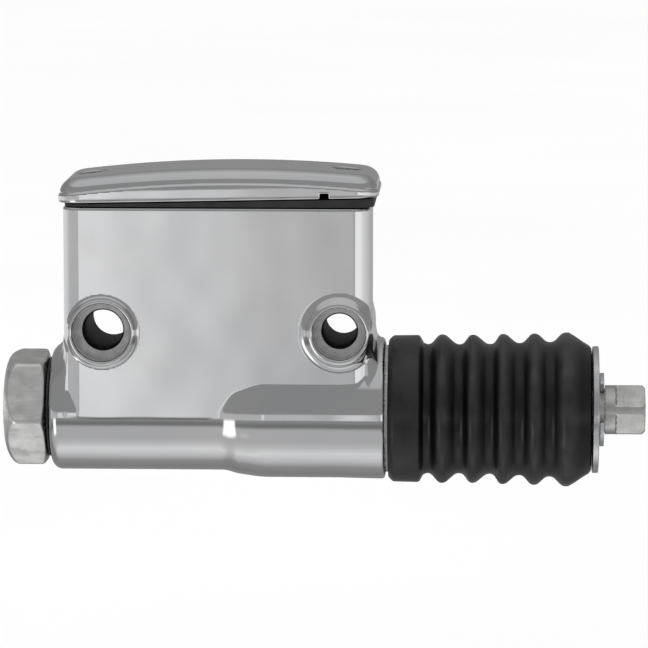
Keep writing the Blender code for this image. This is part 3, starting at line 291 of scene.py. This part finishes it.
# ---------------------------------------------------------------- mesh tools
def link(name, mesh, materials, smooth=True):
    for material in materials:
        mesh.materials.append(material)
    mesh.polygons.foreach_set("use_smooth", [smooth] * len(mesh.polygons))
    obj = bpy.data.objects.new(name, mesh)
    bpy.context.scene.collection.objects.link(obj)
    return obj


def mesh_from(name, points, faces):
    """A mesh from points in millimetres."""
    mesh = bpy.data.meshes.new(name)
    mesh.from_pydata((np.asarray(points) * MM).tolist(), [], [list(map(int, face)) for face in faces])
    mesh.update()
    return mesh


def smooth_union(a, b, width):
    """The nearer of two distances, blended where they differ by less than width."""
    share = np.clip(0.5 + 0.5 * (b - a) / width, 0, 1)
    return b * (1 - share) + a * share - width * share * (1 - share)


def join(a, b, radius):
    """Both shapes, with a fillet of that radius in the corner between them."""
    corner = np.hypot(np.maximum(radius - a, 0), np.maximum(radius - b, 0))
    return np.maximum(radius, np.minimum(a, b)) - corner


def meet(a, b, radius):
    """Where both shapes are, with the edge between them rounded to that radius."""
    return -join(-a, -b, radius)


def cut(a, b, radius):
    """Shape a without shape b, with the edge rounded."""
    return -join(-a, b, radius)


def rounded_box_2d(a, b, half_a, half_b, corner):
    across = np.abs(a) - (half_a - corner)
    along = np.abs(b) - (half_b - corner)
    outside = np.hypot(np.maximum(across, 0), np.maximum(along, 0))
    return outside + np.minimum(np.maximum(across, along), 0) - corner


def ease(value):
    share = np.clip(value, 0, 1)
    return share * share * (3 - 2 * share)


def spaced(low, high, step, fine):
    """Places from low to high a step apart, and closer in the range fine, given as (start, end, step)."""
    if not fine:
        return np.arange(low - step, high + 2 * step, step)
    start, end, small = fine
    parts = []
    for a, b, gap in ((low - step, start, step), (start, end, small), (end, high + 2 * step, step)):
        if b > a:
            parts.append(np.linspace(a, b, max(int(round((b - a) / gap)), 1) + 1)[:-1])
    return np.concatenate(parts)


def lattice_surface(distance, low, high, step, fine):
    """Points and quads where distance is 0, with one point in each lattice cell the surface crosses."""
    axes = [spaced(low[i], high[i], step, fine[i]) for i in range(3)]
    grid = np.meshgrid(*axes, indexing="ij")
    field = distance(*grid)
    inside = field < 0
    shape = [len(axis) - 1 for axis in axes]
    total = np.zeros([*shape, 3])
    count = np.zeros(shape)
    crossings = []
    for axis in range(3):
        first = [slice(None)] * 3
        second = [slice(None)] * 3
        first[axis] = slice(0, -1)
        second[axis] = slice(1, None)
        cross = inside[tuple(first)] != inside[tuple(second)]
        where = np.argwhere(cross)
        start = field[tuple(first)][cross]
        end = field[tuple(second)][cross]
        point = np.stack([axes[i][where[:, i]] for i in range(3)], axis=1)
        gaps = np.diff(axes[axis])[where[:, axis]]
        point[:, axis] += gaps * start / (start - end)
        others = [i for i in range(3) if i != axis]
        corners = []
        for da in (-1, 0):
            for db in (-1, 0):
                cell = where.copy()
                cell[:, others[0]] += da
                cell[:, others[1]] += db
                np.add.at(total, tuple(cell.T), point)
                np.add.at(count, tuple(cell.T), 1)
                corners.append(cell)
        crossings.append((corners, start < 0, axis))
    used = count > 0
    number = np.full(shape, -1)
    number[used] = np.arange(used.sum())
    points = total[used] / count[used][:, None]
    quads = []
    for corners, outward, axis in crossings:
        ids = [number[tuple(cell.T)] for cell in corners]
        quad = np.stack([ids[0], ids[1], ids[3], ids[2]], axis=1)
        turn = ~outward if axis == 1 else outward
        quad[turn] = quad[turn][:, ::-1]
        quads.append(quad)
    return points, np.concatenate(quads)


def slope(distance, points, reach=0.02):
    """The distance's gradient at each point."""
    parts = []
    for axis in range(3):
        offset = np.zeros(3)
        offset[axis] = reach
        ahead = distance(*(points + offset).T)
        behind = distance(*(points - offset).T)
        parts.append((ahead - behind) / (2 * reach))
    return np.stack(parts, axis=1)


def field_piece(name, distance, low, high, step, materials, region=None, fine=(None,) * 3):
    """A piece from a distance field: points moved onto the surface, shaded with its true normals."""
    points, quads = lattice_surface(distance, low, high, step, fine)
    for _ in range(4):
        gradient = slope(distance, points)
        size = np.maximum((gradient**2).sum(axis=1), 0.05)
        move = -(distance(*points.T) / size)[:, None] * gradient
        length = np.linalg.norm(move, axis=1, keepdims=True)
        points = points + move * np.minimum(1, 0.4 * step / np.maximum(length, 1e-9))
    normals = slope(distance, points)
    normals /= np.maximum(np.linalg.norm(normals, axis=1, keepdims=True), 1e-9)
    mesh = mesh_from(name, points, quads)
    obj = link(name, mesh, materials)
    if region:
        centres = points[quads].mean(axis=1)
        mesh.polygons.foreach_set("material_index", region(*centres.T).astype(np.int32))
    mesh.normals_split_custom_set_from_vertices(normals.tolist())
    return obj


def spun(name, path, materials, segments):
    """A closed path of (x, radius) turned about the bore's axis."""
    turns = np.arange(segments) * math.tau / segments
    points = []
    for x, radius in path:
        around = (AXIS_Y - radius * np.cos(turns), AXIS_Z + radius * np.sin(turns))
        points.append(np.stack([np.full(segments, float(x)), *around], axis=1))
    count = len(path)
    closed = path[0][1] > 0
    faces = []
    for i in range(count if closed else count - 1):
        following = (i + 1) % count
        for j in range(segments):
            k = (j + 1) % segments
            first, second = i * segments, following * segments
            faces.append((first + j, first + k, second + k, second + j))
    if not closed:
        faces.append(tuple(range(segments))[::-1])
        faces.append(tuple((count - 1) * segments + j for j in range(segments)))
    mesh = mesh_from(name, np.concatenate(points), faces)
    return link(name, mesh, materials)


def soften(obj, angle=32):
    """Smooth shading with sharp edges kept."""
    obj.data.set_sharp_from_angle(angle=math.radians(angle))
    return obj


def body_blend(obj):
    """Bakes obj's placement into its mesh."""
    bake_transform(obj)


# ---------------------------------------------------------------- housing
HOLES = (  # x, bolt hole radius, counterbore radius, boss radius, fillet round the boss
    (-30.35, 5.1, 7.45, 8.6, 1.1),
    (30.35, 4.4, 6.75, 7.8, 2.6),
)
BARREL_RADIUS = 16.2
LEFT, RIGHT = -44.4, 41.9
SPIGOT_END, SPIGOT_RADIUS = 49.5, 16.4
BLOCK_MIDDLE, BLOCK_HALF = -1.05, 39.25
BLOCK_CORNER = 4.2
RIM = 31.95
FRONT, BACK = AXIS_Y - BARREL_RADIUS, AXIS_Y + BARREL_RADIUS
BOSS_FACE = FRONT - 1.6
SEAT_Y = BOSS_FACE + 6.5
SLEEVE_END = -22.0
BORE_RADIUS = 12.2
SHELF, FLOOR = 8.7, -5.1
WALL, CHAMBER_CORNER = 3.2, 3.0
POST_RADIUS, SCREW_HOLE = 4.2, 2.4
DEEP_MIDDLE, DEEP_HALF = 0.6, 19.5
POSTS = (-33.9, 31.8)


def barrel_radius(x):
    """The barrel's radius, which steps up near the middle and grows a little towards the boot."""
    nose = ease((x + 0.4) / 4.6)
    tail = ease((x - 1.0) / 10.5)
    return BARREL_RADIUS + 0.75 * nose + 1.05 * tail + 0.2 * ease((x - 28) / 13)


def web(x, radial, wall, outwards, base, length, height):
    """The fillet from an end wall down onto the barrel, as an ellipse turned about the bore."""
    beyond = (x - wall) * outwards
    hollow = np.hypot((beyond - length) / length, (radial - base - height) / height)
    fillet = (1 - hollow) * length
    return np.maximum.reduce([fillet, beyond - length, radial - base - height, -2 - beyond])


def housing_distance(x, y, z):
    """Distance to the casting: block, barrels, webs, spigot and bosses, less the holes, chamber and bore."""
    across, up = y - AXIS_Y, z - AXIS_Z
    radial = np.hypot(across, up)
    barrel = radial - barrel_radius(x)
    block = rounded_box_2d(x - BLOCK_MIDDLE, across, BLOCK_HALF, BARREL_RADIUS, BLOCK_CORNER)
    block = meet(block, z - RIM, 0.5)
    block = np.maximum(block, -up)
    body = smooth_union(block, barrel, 0.12 + 0.25 * ease((x + 1.0) / 5.0))
    webs = np.minimum(
        web(x, radial, BLOCK_MIDDLE - BLOCK_HALF, -1, BARREL_RADIUS, 3.4, 7.0),
        web(x, radial, BLOCK_MIDDLE + BLOCK_HALF, 1, 18.1, 3.2, 9.0),
    )
    webs = meet(webs, np.abs(across) - BARREL_RADIUS, 3.4)
    webs = np.maximum(webs, -up)
    body = smooth_union(body, webs, 0.7)
    body = meet(body, LEFT - x, 2.6)
    body = meet(body, x - RIGHT, 0.9)
    spigot = np.maximum(radial - SPIGOT_RADIUS, np.abs(x - 40) - SPIGOT_END + 40)
    spigot = np.maximum(spigot, np.minimum(radial - SPIGOT_RADIUS + 1.1, np.abs(x - 45.8) - 1.5) * -1)
    body = np.minimum(body, spigot)
    for hole_x, hole, seat, boss, around in HOLES:
        off = np.hypot(x - hole_x, z)
        front = meet(np.maximum(off - boss, y - AXIS_Y), BOSS_FACE - y, 0.75)
        body = np.where(y < AXIS_Y, join(body, front, around), body)
        pad = meet(np.maximum(off - boss - 0.6, AXIS_Y - y), y, 0.5)
        body = np.where(y > AXIS_Y, join(body, pad, 1.2), body)
        body = cut(body, np.maximum(off - seat, y - SLEEVE_END), 0.6)
        body = cut(body, off - hole - 0.2, 0.3)
    half = BARREL_RADIUS - WALL
    chamber = rounded_box_2d(x - BLOCK_MIDDLE, across, BLOCK_HALF - WALL, half, CHAMBER_CORNER)
    chamber = np.maximum(chamber, SHELF - z)
    for post in POSTS:
        chamber = cut(chamber, np.hypot(x - post, across) - POST_RADIUS, 0.5)
    deep = rounded_box_2d(x - DEEP_MIDDLE, across, DEEP_HALF, half - 0.2, CHAMBER_CORNER)
    deep = np.maximum(deep, FLOOR - z)
    body = cut(body, np.minimum(chamber, np.maximum(deep, z - SHELF - 1)), 0.4)
    for post in POSTS:
        body = np.maximum(body, -np.maximum(np.hypot(x - post, across) - SCREW_HOLE, RIM - 10 - z))
    return cut(body, radial - BORE_RADIUS, 0.3)


def housing_finish_and_shade(x, y, z):
    """0 chrome, 1 bare casting, 2 the bolt holes' walls, darkened with painted shade."""
    finish = np.zeros(len(x))
    across, radial = y - AXIS_Y, np.hypot(y - AXIS_Y, z - AXIS_Z)
    inside = (np.abs(across) < BARREL_RADIUS - 2.8) & (np.abs(x - BLOCK_MIDDLE) < BLOCK_HALF - 2.8)
    finish[inside & (z > FLOOR - 1)] = 1
    finish[radial < BORE_RADIUS + 0.25] = 1
    finish[(x > RIGHT - 0.05) & (radial < SPIGOT_RADIUS + 0.3)] = 1
    finish[y > -0.25] = 1
    for hole_x, hole, seat, _, _ in HOLES:
        # painted shade: the bolt holes' walls take the near-black material
        finish[(np.hypot(x - hole_x, z) < hole + 0.9) & (y > SLEEVE_END - 1)] = 2
    return finish


FIELD_MARGIN = 0.3  # past the node's box, so that the surface closes inside the lattice
low, high = box_mm("reservoir_body")
FINE = ((low[0] - 1, high[0] + 1, 0.4), (FRONT - 2.4, FRONT + 1.6, 0.35), (-16.0, 11.0, 0.4))
finishes_and_shade = [CHROME, CASTING, BORE_PAINTED_SHADE]
corners = (low - FIELD_MARGIN, high + FIELD_MARGIN)
housing = field_piece("housing_casting", housing_distance, *corners, 0.75, finishes_and_shade, housing_finish_and_shade, FINE)
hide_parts("reservoir_body")
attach(housing, "housing")


def bolt_seat(name, hole_x, hole, seat):
    """The counterbore's flat seat and the bolt hole behind it, with their edges as true circles."""
    path = [(SEAT_Y, seat + 0.15), (SEAT_Y, hole + 0.35), (SEAT_Y + 0.1, hole + 0.12), (SEAT_Y + 0.35, hole)]
    path += [(SLEEVE_END - 0.3, hole), (SLEEVE_END - 0.3, seat + 0.15)]
    segments = 96
    turns = np.arange(segments) * math.tau / segments
    points = [(hole_x + r * math.cos(t), y, r * math.sin(t)) for y, r in path for t in turns]
    faces, finish = [], []
    for i in range(len(path)):
        following = (i + 1) % len(path)
        for j in range(segments):
            k = (j + 1) % segments
            first, second = i * segments, following * segments
            faces.append((first + j, second + j, second + k, first + k))
            finish.append(0 if i in (0, len(path) - 1) else 1)
    # the hole's walls take the near-black painted shade material
    ring = link(name, mesh_from(name, points, faces), [CASTING, BORE_PAINTED_SHADE])
    ring.data.polygons.foreach_set("material_index", finish)
    soften(ring)
    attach(ring, "housing")


bolt_seat("left_bolt_seat", *HOLES[0][:3])
bolt_seat("right_bolt_seat", *HOLES[1][:3])


# ---------------------------------------------------------------- lid
LID_MIDDLE, LID_HALF = -0.65, 41.05
LID_SIDE = 16.5
LEDGE = 3.6  # how far the ledge round the lid lies below its crown


def crown(x):
    return 41.8 - (x - 5.0) ** 2 / 680.0


def underside(x):
    return 33.7 + math.tan(math.radians(1.18)) * (x + 1.05)


def lid_distance(x, y, z):
    """Distance to the lid: a crowned top over a ledge, less its hollow, vent notch and screw holes."""
    across = y - AXIS_Y
    belly = 0.02 * (z - underside(x) - 2.4) ** 2
    side = rounded_box_2d(x - LID_MIDDLE, across, LID_HALF, LID_SIDE, 6.0) + belly
    drop = crown(x) - z
    lower = meet(side, LEDGE - drop, 0.6)
    upper = meet(side + 0.45, -drop, 3.3)
    lid = meet(smooth_union(lower, upper, 0.25), underside(x) - z, 0.5)
    hollow = np.maximum(rounded_box_2d(x + 1.05, across, 28.65, 10.0, 3.0), z - 36.1)
    lid = cut(lid, hollow, 0.3)
    vent = np.maximum(np.maximum(np.abs(x - 26.55) - 1.05, z - underside(x) - 1.4), across + 8)
    lid = cut(lid, vent, 0.4)
    for post in POSTS:
        off = np.hypot(x - post, across)
        lid = np.maximum(lid, SCREW_HOLE - off)
        lid = cut(lid, np.maximum(off - 3.9, crown(post) - 3.1 - z), 0.4)
    return lid


low, high = box_mm("reservoir_cover")
lid = field_piece("reservoir_lid", lid_distance, low - FIELD_MARGIN, high + FIELD_MARGIN, 0.3, [CHROME])
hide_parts("reservoir_cover")
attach(lid, "housing")


def screw_distance(place_x):
    top = crown(place_x) - 0.9

    def distance(x, y, z):
        off = np.hypot(x - place_x, y - AXIS_Y)
        head = meet(off - 3.6, z - top + 0.06 * off * off, 0.5)
        head = np.maximum(head, top - 2.2 - z)
        shank = np.maximum(off - 2.1, RIM - 9.7 - z)
        screw = np.minimum(head, np.maximum(shank, z - top + 1))
        for a, b in ((x - place_x, y - AXIS_Y), (y - AXIS_Y, x - place_x)):
            slot = np.maximum(np.maximum(np.abs(a) - 0.5, np.abs(b) - 2.2), top - 1.4 - z)
            screw = cut(screw, slot, 0.15)
        return screw

    return distance


for side, place in zip(("left", "right"), POSTS):
    low, high = box_mm(f"cover_screw_{side}")
    screw = field_piece(f"lid_screw_{side}", screw_distance(place), low - 0.2, high + 0.2, 0.28, [ZINC])
    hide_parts(f"cover_screw_{side}")
    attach(screw, "housing")


# ---------------------------------------------------------------- cartridge
HEX_LEFT, HEX_RIGHT = -56.6, -45.4
HEX_HALF = 13.5
HEX_TURN = math.radians(-7.5)


def hex_distance(x, y, z):
    """Distance to the cartridge's hex head and neck, with the outlet port through them."""
    across, up = AXIS_Y - y, z - AXIS_Z
    radial = np.hypot(across, up)
    sides = np.full_like(x, -1e3)
    for i in range(6):
        turn = HEX_TURN + math.radians(60 * i + 30)
        sides = meet(sides, across * math.cos(turn) + up * math.sin(turn) - HEX_HALF, 0.5)
    bulge = 5.2 * (1 - np.sqrt(np.clip(1 - (np.maximum(radial - 8.6, 0) / 7.2) ** 2, 0, 1)))
    head = meet(sides, (HEX_LEFT + bulge - x) * 0.75, 0.35)
    turned = 3.0 * (1 - np.sqrt(np.clip(1 - (np.maximum(radial - 11.4, 0) / 5.2) ** 2, 0, 1)))
    back = (x - HEX_RIGHT + turned) * 0.75
    head = meet(head, back, 0.3)
    neck = np.maximum(radial - 10.4, x + 42.2)
    piece = np.minimum(head, np.maximum(neck, HEX_RIGHT - 2 - x))
    port = np.maximum(radial - 4.76 - 0.12 * np.abs((x * 0.8) % 1 - 0.5), x + 44.6)
    piece = cut(piece, port, 0.5)
    return np.maximum(piece, 1.6 - radial)


low, high = box_mm("cartridge_body")
high[0] = -42.0
corners = (low - FIELD_MARGIN, high + FIELD_MARGIN)
hex_head = field_piece("cartridge_hex", hex_distance, *corners, 0.42, [HEX_STEEL])
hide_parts("cartridge_body")
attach(hex_head, "housing")

GROOVES = ((-29.4, -26.6, 9.4), (-9.6, 15.0, 10.9), (31.6, 34.4, 9.4))
tube = [(-42.2, 10.4), (-41.8, 10.4), (-41.0, 11.9)]
for start, end, radius in GROOVES:
    tube += [(start, 11.9), (start, radius), (end, radius), (end, 11.9)]
tube += [(49.3, 11.9), (49.7, 11.5), (49.7, 9.0), (41.4, 9.0), (41.4, 10.0), (39.7, 10.0), (39.7, 9.0)]
tube += [(38.1, 9.0), (38.1, 7.94), (-39.4, 7.94), (-39.4, 1.6), (-42.2, 1.6)]
cartridge_tube = soften(spun("cartridge_tube", tube, [HEX_STEEL], 128))
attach(cartridge_tube, "housing")


# ---------------------------------------------------------------- boot and its spring
CUFF_START, CUFF_END = 42.7, 50.9
FOLDS = (  # x and outer radius of the valleys and peaks between the cuff and the rod's end
    (52.7, 16.7), (56.5, 19.25), (61.0, 16.7), (64.4, 19.2), (68.9, 16.8), (72.2, 19.45),
    (76.5, 17.1), (80.3, 19.6), (84.3, 17.4), (88.4, 19.9),
)
BOOT_END, BOOT_END_RADIUS = 94.95, 16.3
BOOT_WALL = 1.5


def rounded(points, radius, steps=4):
    """The path with each corner replaced by a short curve."""
    path = [points[0]]
    for before, at, after in zip(points, points[1:], points[2:]):
        at_v = Vector(at)
        back, ahead = Vector(before) - at_v, Vector(after) - at_v
        start = at_v + back.normalized() * min(radius, back.length * 0.49)
        end = at_v + ahead.normalized() * min(radius, ahead.length * 0.49)
        for i in range(steps + 1):
            t = i / steps
            path.append(tuple(start.lerp(at_v, t).lerp(at_v.lerp(end, t), t)))
    path.append(points[-1])
    return path


def fold_path(offset):
    """The bellows' outline, moved inwards by offset: straight slopes between small flats, all rounded."""
    corners = []
    for i, (x, radius) in enumerate(FOLDS):
        half = 0.85 if i % 2 == 0 else 0.75
        corners += [(x - half, radius - offset), (x + half, radius - offset)]
    return rounded(corners, 0.9)


outer = [(CUFF_START, 17.2), (CUFF_START, 17.8), (CUFF_START + 1.2, 18.95), (CUFF_END - 0.3, 19.05)]
outer = rounded(outer + [(CUFF_END + 0.9, 16.9), (52.8, 16.8)], 0.5)[:-1] + fold_path(0)[1:]
outer += [(90.7, 19.0), (92.9, 17.5), (94.5, 16.5), (BOOT_END, BOOT_END_RADIUS - 0.4)]
inner = [(BOOT_END, 6.65), (BOOT_END - 2.6, 6.65), (BOOT_END - 2.6, 15.4), (90.4, 17.4)]
inner += [point for point in reversed(fold_path(BOOT_WALL)) if point[0] > 53.0]
inner += [(50.0, 15.4), (49.8, 16.7), (47.0, 16.7), (47.0, 15.6)]  # the cuff's lip in the spigot's groove
inner += [(44.6, 15.6), (44.6, 16.7), (CUFF_START, 16.7)]
boot = spun("bellows_boot", outer + inner, [BOOT_RUBBER], 144)
boot.data.set_sharp_from_angle(angle=math.radians(50))
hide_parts("boot")
body_blend(boot)


def helix(name, node, radius, wire, turns):
    """A round wire spring with closed end turns."""
    steps, sides = 40, 12
    count = turns * steps
    start, end = (corner[0] for corner in box_mm(node))
    low, high = start + 1.1 * wire, end - 1.1 * wire
    dead = 2.3 * wire
    points, faces = [], []
    for i in range(count + 1):
        turn = i / steps
        if turn < 1:
            x = low + dead * turn
        elif turn > turns - 1:
            x = high - dead * (turns - turn)
        else:
            x = low + dead + (high - low - 2 * dead) * (turn - 1) / (turns - 2)
        angle = math.tau * turn
        for j in range(sides):
            around = math.tau * j / sides
            reach = radius + wire * math.cos(around)
            y, z = AXIS_Y + reach * math.cos(angle), AXIS_Z + reach * math.sin(angle)
            points.append((x + wire * math.sin(around), y, z))
    for i in range(count):
        for j in range(sides):
            k = (j + 1) % sides
            faces.append((i * sides + j, i * sides + k, (i + 1) * sides + k, (i + 1) * sides + j))
    faces.append(tuple(range(sides))[::-1])
    faces.append(tuple(count * sides + j for j in range(sides)))
    spring = soften(link(name, mesh_from(name, points, faces), [SPRING]), 60)
    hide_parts(node)
    body_blend(spring)


helix("return_spring", "boot_spring", 10.6, 0.8, 7)
helix("bore_spring", "piston_spring", 4.7, 0.6, 8)


# ---------------------------------------------------------------- washer, rod and clip
WASHER_LOW, WASHER_HIGH = 95.25, 96.85
WASHER_RADIUS, WASHER_HOLE = 16.4, 6.7
washer_path = [(WASHER_LOW, 6.9), (WASHER_LOW, WASHER_RADIUS)]
washer_path += [(WASHER_HIGH, WASHER_RADIUS), (WASHER_HIGH, 6.9)]
washer_path = [(WASHER_LOW, WASHER_HOLE)] + rounded(washer_path, 0.35, 3) + [(WASHER_HIGH, WASHER_HOLE)]
washer = soften(spun("spring_washer", washer_path, [ZINC], 128))
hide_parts("push_washer")
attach(washer, "push_group")

ROD_END = 108.9
SQUARE_HALF, SQUARE_TURN = 5.15, math.radians(8)
ROD_OUTLINE = (  # x and radius
    (34.0, 4.0), (85.2, 4.0), (87.25, 6.35), (97.0, 6.35), (97.05, 5.05), (98.45, 5.05), (98.5, 6.35),
    (110.0, 6.35),
)


def rod_distance(x, y, z):
    """Distance to the pushrod: ball end, shaft, clip groove, squared end and its threaded hole."""
    across, up = AXIS_Y - y, z - AXIS_Z
    radial = np.hypot(across, up)
    xs, radii = zip(*ROD_OUTLINE)
    shaft = (radial - np.interp(x, xs, radii)) * 0.85
    shaft = np.maximum(shaft, 37.6 - x)
    neck = np.maximum(radial - 2.75, np.maximum(37 - x, x - 40))
    shaft = np.minimum(np.maximum(shaft, 41.3 - x), neck)
    rod = join(shaft, np.sqrt(radial**2 + (x - 36.0) ** 2) - 3.8, 0.4)
    rod = meet(rod, x - ROD_END, 0.45)
    turned_a = across * math.cos(SQUARE_TURN + math.pi / 4) + up * math.sin(SQUARE_TURN + math.pi / 4)
    turned_b = -across * math.sin(SQUARE_TURN + math.pi / 4) + up * math.cos(SQUARE_TURN + math.pi / 4)
    square = np.maximum(np.abs(turned_a), np.abs(turned_b)) - SQUARE_HALF
    step = x - ROD_END + 7.6
    rod = np.maximum(rod, np.minimum(square, step))
    chamfer = (radial + x - ROD_END - 5.6) * 0.7
    rod = np.maximum(rod, chamfer)
    hole = np.maximum(radial - 3.3 - 0.1 * np.abs((x * 0.9) % 1 - 0.5), ROD_END - 16 - x)
    hole = np.minimum(hole, (radial - 3.9 + ROD_END - x) * 0.7)
    return np.maximum(rod, -hole)


low, high = box_mm("pushrod")
rod = field_piece("rod", rod_distance, low - FIELD_MARGIN, high + FIELD_MARGIN, 0.42, [ROD_STEEL])
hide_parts("pushrod")
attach(rod, "pushrod")


# ---------------------------------------------------------------- CAD nodes that keep their shape
CARRIED = {
    "e_clip": ZINC,
    "piston": PISTON,
    "spring_retainer": ZINC,
    "cup_shim": ZINC,
    "primary_cup": SEAL_RUBBER,
    "secondary_cup": SEAL_RUBBER,
    "stop_washer": ZINC,
    "snap_ring": SPRING,
    "outlet_washer": SEAL_RUBBER,
    "cartridge_o_ring_front": SEAL_RUBBER,
    "cartridge_o_ring_rear": SEAL_RUBBER,
    "cover_gasket": SEAL_RUBBER,
}
for name, material in CARRIED.items():
    node = frame["nodes"][name]
    node.data.materials.clear()
    node.data.materials.append(material)


# ---------------------------------------------------------------- floor, light and camera
def grid_plane(name, half, z, material):
    corners = [(-half, -half, z), (half, -half, z), (half, half, z), (-half, half, z)]
    return link(name, mesh_from(name, corners, [(0, 1, 2, 3)]), [material], False)


FLOOR_DROP = 140.0
floor_material, floor_tree, floor_shader = new_material("pale_floor", (0.92, 0.92, 0.92), 0.9)
tint(floor_tree, floor_shader, noise(floor_tree, 3.0, 2.0), (0.915, 0.915, 0.915), (0.93, 0.93, 0.93))
floor = grid_plane("floor", 12000.0, cad_bounds[0][2] / MM - FLOOR_DROP, floor_material)
floor.visible_glossy = False

# Brightness that the room sends from each elevation in degrees: in front of the object, then behind it
FRONT_ROOM = (
    (-90, 0.9), (-79, 0.9), (-73, 0.97), (-61, 0.72), (-50, 0.6), (-30, 0.6), (-27, 0.48), (-24.5, 0.25),
    (-20, 0.25), (-17, 0.34), (-13, 0.36), (-11.5, 1.0), (-4.5, 1.0), (-2.5, 0.36), (38, 0.36), (43, 0.62),
    (60, 0.64), (90, 0.66),
)
BACK_ROOM = (
    (-90, 0.56), (-85, 0.48), (-79, 0.42), (-69, 0.37), (-50, 0.29), (0, 0.3), (30, 0.3), (60, 0.5),
    (90, 0.75),
)


# Brightness in the band of elevations that upright walls reflect, by azimuth in degrees from the front
SIDE_STRIP = (
    (-180, 0.4), (-150, 0.95), (-105, 0.95), (-70, 0.66), (-15, 0.64), (-8.5, 0.62), (-7, 1.08),
    (-5.05, 1.08), (-4.6, 0.97), (-4, 0.8), (-2.3, 0.62), (-1, 0.55), (8, 0.55), (13, 1.2), (45, 1.2),
    (77, 0.9), (120, 0.75), (180, 0.4),
)


LEFT_LIGHT = (1.7, 1.7, 1.7, 1.0)
WHITE = (1.0, 1.0, 1.0, 1.0)


def room_ramp(tree, value, bands):
    """Grey levels by angle, as a ramp over value, which is 0 at the first angle and 1 at the last."""
    ramp = tree.nodes.new("ShaderNodeValToRGB")
    elements = ramp.color_ramp.elements
    elements.remove(elements[1])
    first, last = bands[0][0], bands[-1][0]
    for i, (angle, level) in enumerate(bands):
        place = (angle - first) / (last - first)
        if i:
            element = elements.new(place)
        else:
            element = elements[0]
            element.position = place
        element.color = (level, level, level * 1.01, 1)
    tree.links.new(value, ramp.inputs["Fac"])
    return ramp.outputs["Color"]


def make_room():
    """Surroundings that the polished metal mirrors, with plain white where the camera sees past the floor."""
    world = bpy.data.worlds.new("studio")
    world.use_nodes = True
    tree = world.node_tree
    background = tree.nodes["Background"]
    place = tree.nodes.new("ShaderNodeTexCoord")
    split = tree.nodes.new("ShaderNodeSeparateXYZ")
    tree.links.new(place.outputs["Generated"], split.inputs[0])
    x, y, z = split.outputs
    height = spread(tree, math_node(tree, "ARCSINE", z), 0, 1, -math.pi / 2, math.pi / 2)
    front = room_ramp(tree, height, FRONT_ROOM)
    back = room_ramp(tree, height, BACK_ROOM)
    behind = spread(tree, y, 0, 1, -0.15, 0.3)
    room = mixed(tree, behind, front, back)
    turn = math_node(tree, "ARCTAN2", x, math_node(tree, "MULTIPLY", y, -1.0))
    strip = room_ramp(tree, spread(tree, turn, 0, 1, -math.pi, math.pi), SIDE_STRIP)
    near = spread(tree, math_node(tree, "ABSOLUTE", math_node(tree, "ADD", z, 0.13)), 1, 0, 0.06, 0.09)
    room = mixed(tree, near, room, strip)
    # a softbox low on the camera's left
    left_light = spread(tree, turn, 0, 1, math.radians(-24), math.radians(-30))
    edges = ((turn, math.radians(-62), math.radians(-56)), (z, -0.7, -0.62), (z, -0.20, -0.27))
    for value, start, end in edges:
        left_light = math_node(tree, "MULTIPLY", left_light, spread(tree, value, 0, 1, start, end))
    room = mixed(tree, left_light, room, LEFT_LIGHT)
    seen = tree.nodes.new("ShaderNodeLightPath")
    colour = mixed(tree, seen.outputs["Is Camera Ray"], room, WHITE)
    tree.links.new(colour, background.inputs["Color"])
    bpy.context.scene.world = world


def soft_light(name, direction, strength, spread_degrees):
    light = bpy.data.lights.new(name, "SUN")
    light.energy = strength
    light.angle = math.radians(spread_degrees)
    obj = bpy.data.objects.new(name, light)
    obj.rotation_euler = Vector(direction).to_track_quat("-Z", "Y").to_euler()
    obj.visible_glossy = False
    bpy.context.scene.collection.objects.link(obj)


make_room()
soft_light("overhead", (0.15, 0.35, -1.0), 2.15, 70)

CAMERA_AZIMUTH, CAMERA_ELEVATION = math.radians(2.36), math.radians(7.65)
CAMERA_PLACE = (70.2, -1094.5, 144.8)
LENS = 233.3

right = Vector((math.cos(CAMERA_AZIMUTH), math.sin(CAMERA_AZIMUTH), 0))
ahead = Vector((
    -math.sin(CAMERA_AZIMUTH) * math.cos(CAMERA_ELEVATION),
    math.cos(CAMERA_AZIMUTH) * math.cos(CAMERA_ELEVATION),
    -math.sin(CAMERA_ELEVATION),
))
up = right.cross(ahead)
camera_data = bpy.data.cameras.new("camera")
camera_data.lens = LENS
camera_data.sensor_width = 36.0
camera_data.clip_start = 0.05
camera_data.clip_end = 60.0
camera = bpy.data.objects.new("camera", camera_data)
rotation = Matrix((right, up, -ahead)).transposed().to_4x4()
camera.matrix_world = Matrix.Translation(Vector(CAMERA_PLACE) * MM) @ rotation
bpy.context.scene.collection.objects.link(camera)
bpy.context.scene.camera = camera
bpy.context.scene.view_settings.view_transform = "Standard"
